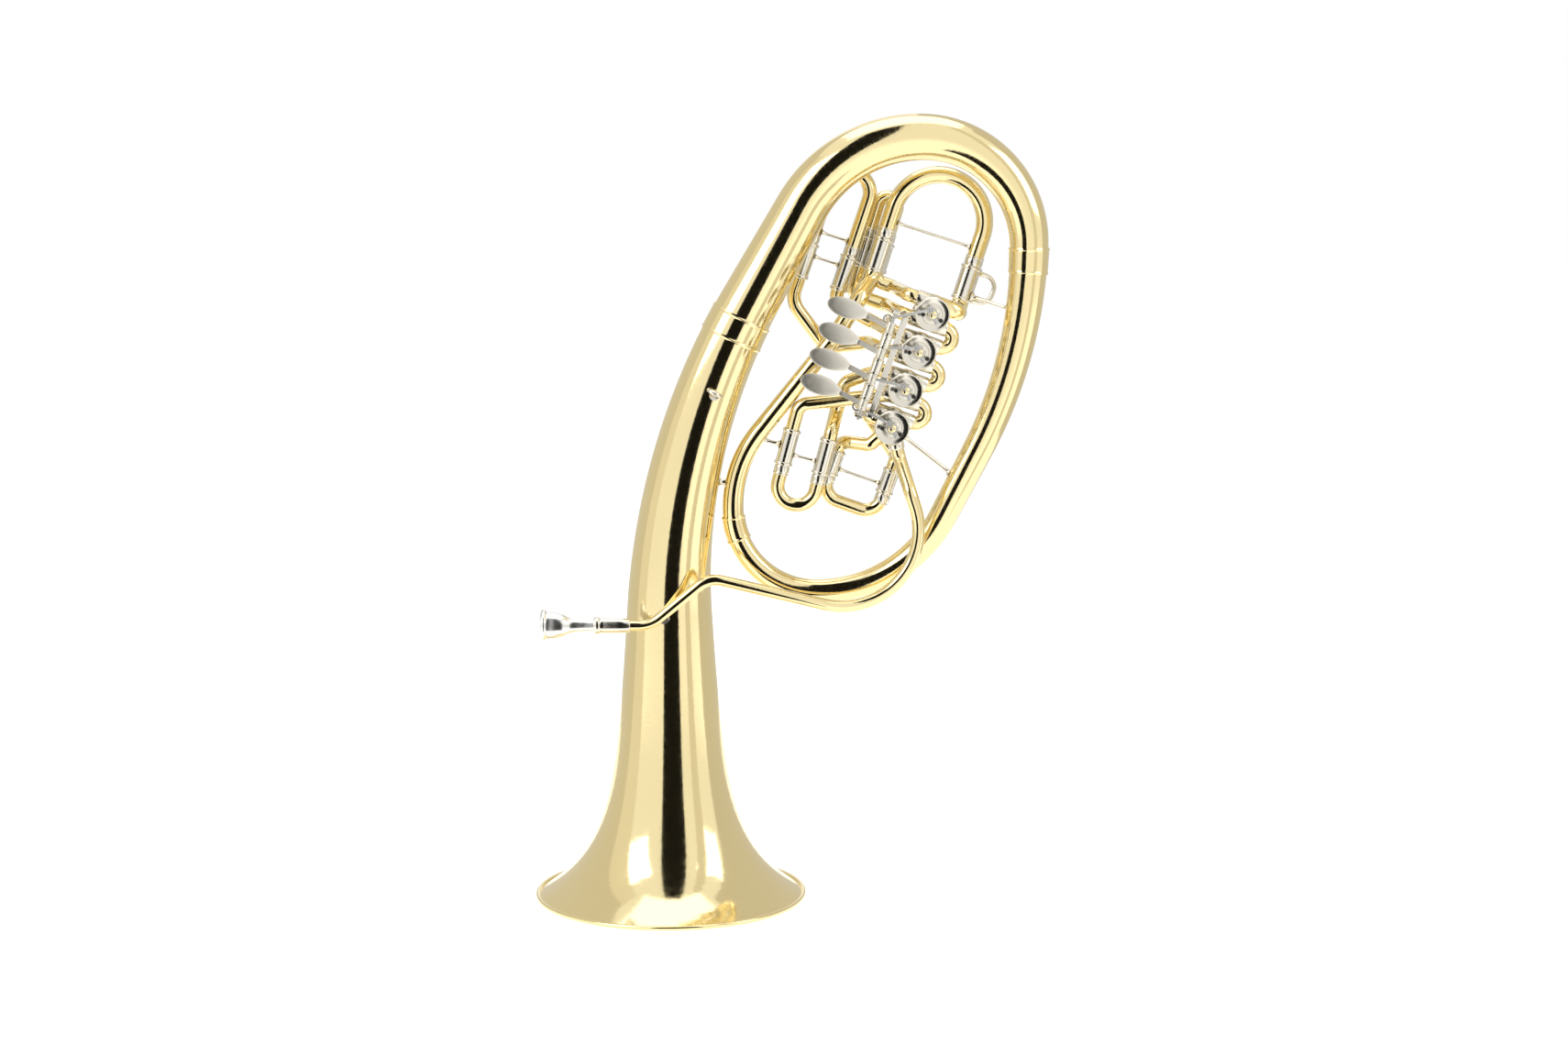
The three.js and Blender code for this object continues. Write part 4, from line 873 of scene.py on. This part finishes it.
class MakePipe(bpy.types.Operator):
    """Leadpipe as a slow cone along its own route, the receiver and the turned mouthpiece"""

    bl_idname = "horn.make_pipe"
    bl_label = "Leadpipe and mouthpiece"

    def execute(self, context):
        route = rounded([
            ((RECEIVER_END - 12, PIPE_Y, PIPE_Z), 0), ((-16, PIPE_Y, PIPE_Z), 30), ((38, -46, 309.5), 25),
            ((266, -23, 252), 70), ((222.8, -23, 385), 16), ((213.5, 0, 414), 12), ((209, 0, 432), 0),
        ])
        length = length_of(route)
        cone = pipe(route, 0, length - 3, lambda s: 4.6 + 1.8 * s / length, SHEET)
        finishes = brass_and_nickel()
        ring = collar(route, length - 10, length - 3, 6.5, 0.9)
        built("leadpipe_surface", [(cone, 0), (ring, 1)], finishes, "body", ["leadpipe"])
        receiver = turned((-1, 0, 0), (RECEIVER_END, PIPE_Y, PIPE_Z), [
            (5.0, 0), (5.8, 0), (6.2, 0.6), (6.2, 3.4), (6.6, 4.2), (6.9, 12), (7.0, 24), (7.0, 27.4),
            (7.6, 28.2), (8.0, 29.2), (8.0, 32.2), (7.6, 33), (5.6, 33), (5.6, 12.3), (5.0, 12.3)], 56)
        built("mouthpiece_receiver_surface", [(receiver, 0)], [finishes[1]], "body", ["mouthpiece_receiver"])
        outside = flowing([(5.0, 0), (5.2, 22), (5.5, 30), (6.2, 37), (7.6, 42), (10.6, 47.5), (12.3, 54),
                           (12.9, 60), (13.4, 62.6), (14.7, 63.8), (15.0, 65.6),
                           (14.2, 67.4), (12.9, 68.0), (11.4, 67.4)], 90)
        inside = flowing([(10.7, 66), (10.2, 62), (9.4, 56), (7.6, 50), (5.0, 45), (3.2, 41), (3.0, 35),
                          (3.6, 15), (4.2, 0)], 60)
        seat = (RECEIVER_END - 13.6, PIPE_Y, PIPE_Z)
        mouthpiece = turned((-1, 0, 0), seat, np.vstack([outside, inside]), 72)
        built("mouthpiece_surface", [(mouthpiece, 0)], [finish_named("silver plate")], "mouthpiece",
              ["mouthpiece"])
        return {"FINISHED"}


class MakeFittings(bpy.types.Operator):
    """Braces with flared feet, the finger hook and the strap ring"""

    bl_idname = "horn.make_fittings"
    bl_label = "Braces, hook and ring"

    def execute(self, context):
        nickel = [finish_named("nickel silver")]
        out, _, right = legs_of("main")

        def brace(name, a, b, gap_a, gap_b, radius=1.8):
            part = strut(np.array(a, float), np.array(b, float), gap_a, gap_b, radius, 2.6)
            built(f"{name}_surface", [(part, 0)], nickel, "body", [name])

        brace("brace_slide_branch", right - out * 27, (330, 0, 547), 9.6, 19.6)
        brace("brace_valve_branch", (205.8, 0, 444), (270, 0, 393), 15.8, 13.0)
        out2, left2, _ = legs_of("valve_2")
        sleeve = left2 - out2 * 18
        brace("brace_loop", (80, 0, sleeve[2] + 8), sleeve, 7.0, 7.8)
        brace("brace_stem", (12, 0, 392), (59.5, 0, 392), 34.0, 0.5, 2.6)
        brace("brace_leadpipe", (-2, -20, PIPE_Z + 5), (-4, PIPE_Y + 2, PIPE_Z + 5), 20.4, 5.2, 2.2)
        side = np.array([math.cos(math.radians(18)), 0, -math.sin(math.radians(18))])
        high, low = right - out * 5, right - out * 31
        route = rounded([(high, 0), (high + side * 27, 11), (low + side * 25, 11), (low, 0)])
        length = length_of(route)
        s = stations(route, 8.6, length - 8.6, 1.5)
        ends = np.exp(-(s - 8.6) / 2) + np.exp(-(length - 8.6 - s) / 2)
        hook = sections(route, s, 2.2 + 1.4 * ends, 24), False
        built("finger_hook_surface", [(hook, 0)], nickel, "body", ["finger_hook"])
        t = np.linspace(0, 2 * math.pi, 24, endpoint=False)
        wire = np.stack([6.5 + 1.65 * np.cos(t), 1.65 * np.sin(t)], axis=1)
        ring = turned((math.sin(0.5), 0, math.cos(0.5)), (44, -39.5, 478), wire, 56)
        foot = strut(np.array([40, -20, 474.0]), np.array([43.6, -33.6, 475.4]), 7.0, 0.2, 2.2, 2.6)
        built("strap_ring_surface", [(ring, 0), (foot, 0)], nickel, "body", ["strap_ring"])
        return {"FINISHED"}


class MakeStage(bpy.types.Operator):
    """White floor and surroundings, soft lamps, grey cards that only reflections see, and the camera"""

    bl_idname = "horn.make_stage"
    bl_label = "Studio"

    def execute(self, context):
        stage = context.scene.horn_stage
        self.world(stage.fill)
        self.floor()
        self.lamps()
        self.cards()
        self.camera(stage)
        context.scene.view_settings.view_transform = "Standard"
        return {"FINISHED"}

    def seen(self, tree):
        """1 for the camera's rays and for reflections, and 0 for the rest."""
        path = tree.nodes.new("ShaderNodeLightPath")
        either = tree.nodes.new("ShaderNodeMath")
        either.operation = "MAXIMUM"
        tree.links.new(path.outputs["Is Camera Ray"], either.inputs[0])
        tree.links.new(path.outputs["Is Glossy Ray"], either.inputs[1])
        return either.outputs["Value"]

    def world(self, fill):
        """White to the camera and to reflections, and fill to everything else."""
        world = bpy.data.worlds.new("white surroundings")
        bpy.context.scene.world = world
        world.use_nodes = True
        nodes, links = world.node_tree.nodes, world.node_tree.links
        sky = nodes["Background"]
        sky.inputs["Color"].default_value = (1, 1, 1, 1)
        strength = nodes.new("ShaderNodeMapRange")
        strength.inputs["To Min"].default_value = fill
        strength.inputs["To Max"].default_value = 1.0
        links.new(self.seen(world.node_tree), strength.inputs["Value"])
        links.new(strength.outputs["Result"], sky.inputs["Strength"])

    def plane(self, name, corners, material):
        mesh = bpy.data.meshes.new(name)
        mesh.from_pydata(corners, [], [(0, 1, 2, 3)])
        mesh.materials.append(material)
        obj = bpy.data.objects.new(name, mesh)
        bpy.context.scene.collection.objects.link(obj)

    def floor(self):
        material = bpy.data.materials.new("white floor")
        material.use_nodes = True
        shader = material.node_tree.nodes["Principled BSDF"]
        shader.inputs["Base Color"].default_value = (0.93, 0.93, 0.92, 1)
        shader.inputs["Roughness"].default_value = 0.8
        shader.inputs["Specular IOR Level"].default_value = 0.1
        shader.inputs["Emission Color"].default_value = (1, 1, 1, 1)
        nodes, links = material.node_tree.nodes, material.node_tree.links
        lift = nodes.new("ShaderNodeMath")
        lift.operation = "MULTIPLY"
        lift.inputs[1].default_value = FLOOR_LIFT
        links.new(self.seen(material.node_tree), lift.inputs[0])
        links.new(lift.outputs["Value"], shader.inputs["Emission Strength"])
        wide = 12.0
        corners = [(-wide, -wide, 0), (wide, -wide, 0), (wide, wide, 0), (-wide, wide, 0)]
        self.plane("floor", corners, material)

    def lamps(self):
        for name, place, power, size in (
            ("left softbox", (-2.2, -1.6, 2.2), 26, 1.8),
            ("right softbox", (2.4, -1.2, 1.9), 16, 1.8),
            ("top softbox", (0.0, 0.4, 3.4), 22, 2.6),
        ):
            data = bpy.data.lights.new(name, "AREA")
            data.energy = power
            data.shape = "SQUARE"
            data.size = size
            lamp = bpy.data.objects.new(name, data)
            lamp.location = place
            lamp.rotation_euler = (Vector((0, 0, 0.35)) - Vector(place)).to_track_quat("-Z", "Y").to_euler()
            bpy.context.scene.collection.objects.link(lamp)

    def cards(self):
        """Upright cards on a circle about the bell's axis, from one bearing to another; 0 is the front."""
        for name, far, start, end, low, high, shade in (
            ("dark card", 0.46, -12, 25, 0.0, 1.6, 0.010),
            ("left pale card", 1.05, -92, -64, 0.0, 2.2, 0.86),
            ("left grey card", 1.1, -165, -92, 0.0, 2.2, 0.70),
            ("right grey card", 1.1, 84, 165, 0.0, 2.2, 0.66),
            ("right pale card", 1.0, 44, 58, 0.0, 2.2, 0.78),
        ):
            material = bpy.data.materials.new(name)
            material.use_nodes = True
            nodes = material.node_tree.nodes
            nodes.remove(nodes["Principled BSDF"])
            glow = nodes.new("ShaderNodeEmission")
            glow.inputs["Color"].default_value = (shade, shade * 0.97, shade * 0.90, 1)
            material.node_tree.links.new(glow.outputs["Emission"], nodes["Material Output"].inputs["Surface"])
            a, b = math.radians(start), math.radians(end)
            at = [(BELL_AXIS[0] + far * math.sin(t), -far * math.cos(t)) for t in np.linspace(a, b, 9)]
            mesh = bpy.data.meshes.new(name)
            low_points = [(x, y, low) for x, y in at]
            high_points = [(x, y, high) for x, y in at]
            quads = [(i, i + 1, i + 10, i + 9) for i in range(8)]
            mesh.from_pydata(low_points + high_points, [], quads)
            mesh.materials.append(material)
            card = bpy.data.objects.new(name, mesh)
            bpy.context.scene.collection.objects.link(card)
            card.visible_camera = False
            card.visible_diffuse = False
            card.visible_shadow = False

    def camera(self, stage):
        data = bpy.data.cameras.new("camera")
        data.lens = stage.lens
        data.sensor_width = 36
        camera = bpy.data.objects.new("camera", data)
        target = Vector(((106.7 * MM) + BELL_AXIS[0], 0, 0.354))
        back = Vector((0, -math.cos(stage.elevation), math.sin(stage.elevation)))
        camera.location = target + back * stage.distance
        camera.rotation_euler = (-back).to_track_quat("-Z", "Y").to_euler()
        bpy.context.scene.collection.objects.link(camera)
        bpy.context.scene.camera = camera


# ------------------------------------------------------------------ panel and registration
OPERATORS = (MakeBell, MakeBows, MakeReturn, MakeTubing, MakeSlides, MakeValves, MakeLevers, MakePipe,
             MakeFittings, MakeStage)
SETTINGS = {"horn_body": HornBody, "horn_finishes": HornFinishes, "horn_stage": HornStage}


class HornPanel(bpy.types.Panel):
    """Buttons for every group of pieces, and the studio"""

    bl_idname = "VIEW3D_PT_horn"
    bl_label = "Oval tenor horn"
    bl_space_type = "VIEW_3D"
    bl_region_type = "UI"
    bl_category = "Horn"

    def draw(self, context):
        for operator in OPERATORS:
            self.layout.operator(operator.bl_idname)


def register():
    for cls in (*SETTINGS.values(), *OPERATORS, HornPanel):
        bpy.utils.register_class(cls)
    for name, cls in SETTINGS.items():
        setattr(bpy.types.Scene, name, bpy.props.PointerProperty(type=cls))


def unregister():
    for name in SETTINGS:
        delattr(bpy.types.Scene, name)
    for cls in reversed((*SETTINGS.values(), *OPERATORS, HornPanel)):
        bpy.utils.unregister_class(cls)


def main():
    register()
    for operator in OPERATORS:
        group, name = operator.bl_idname.split(".")
        getattr(getattr(bpy.ops, group), name)()


if __name__ == "__main__":
    main()
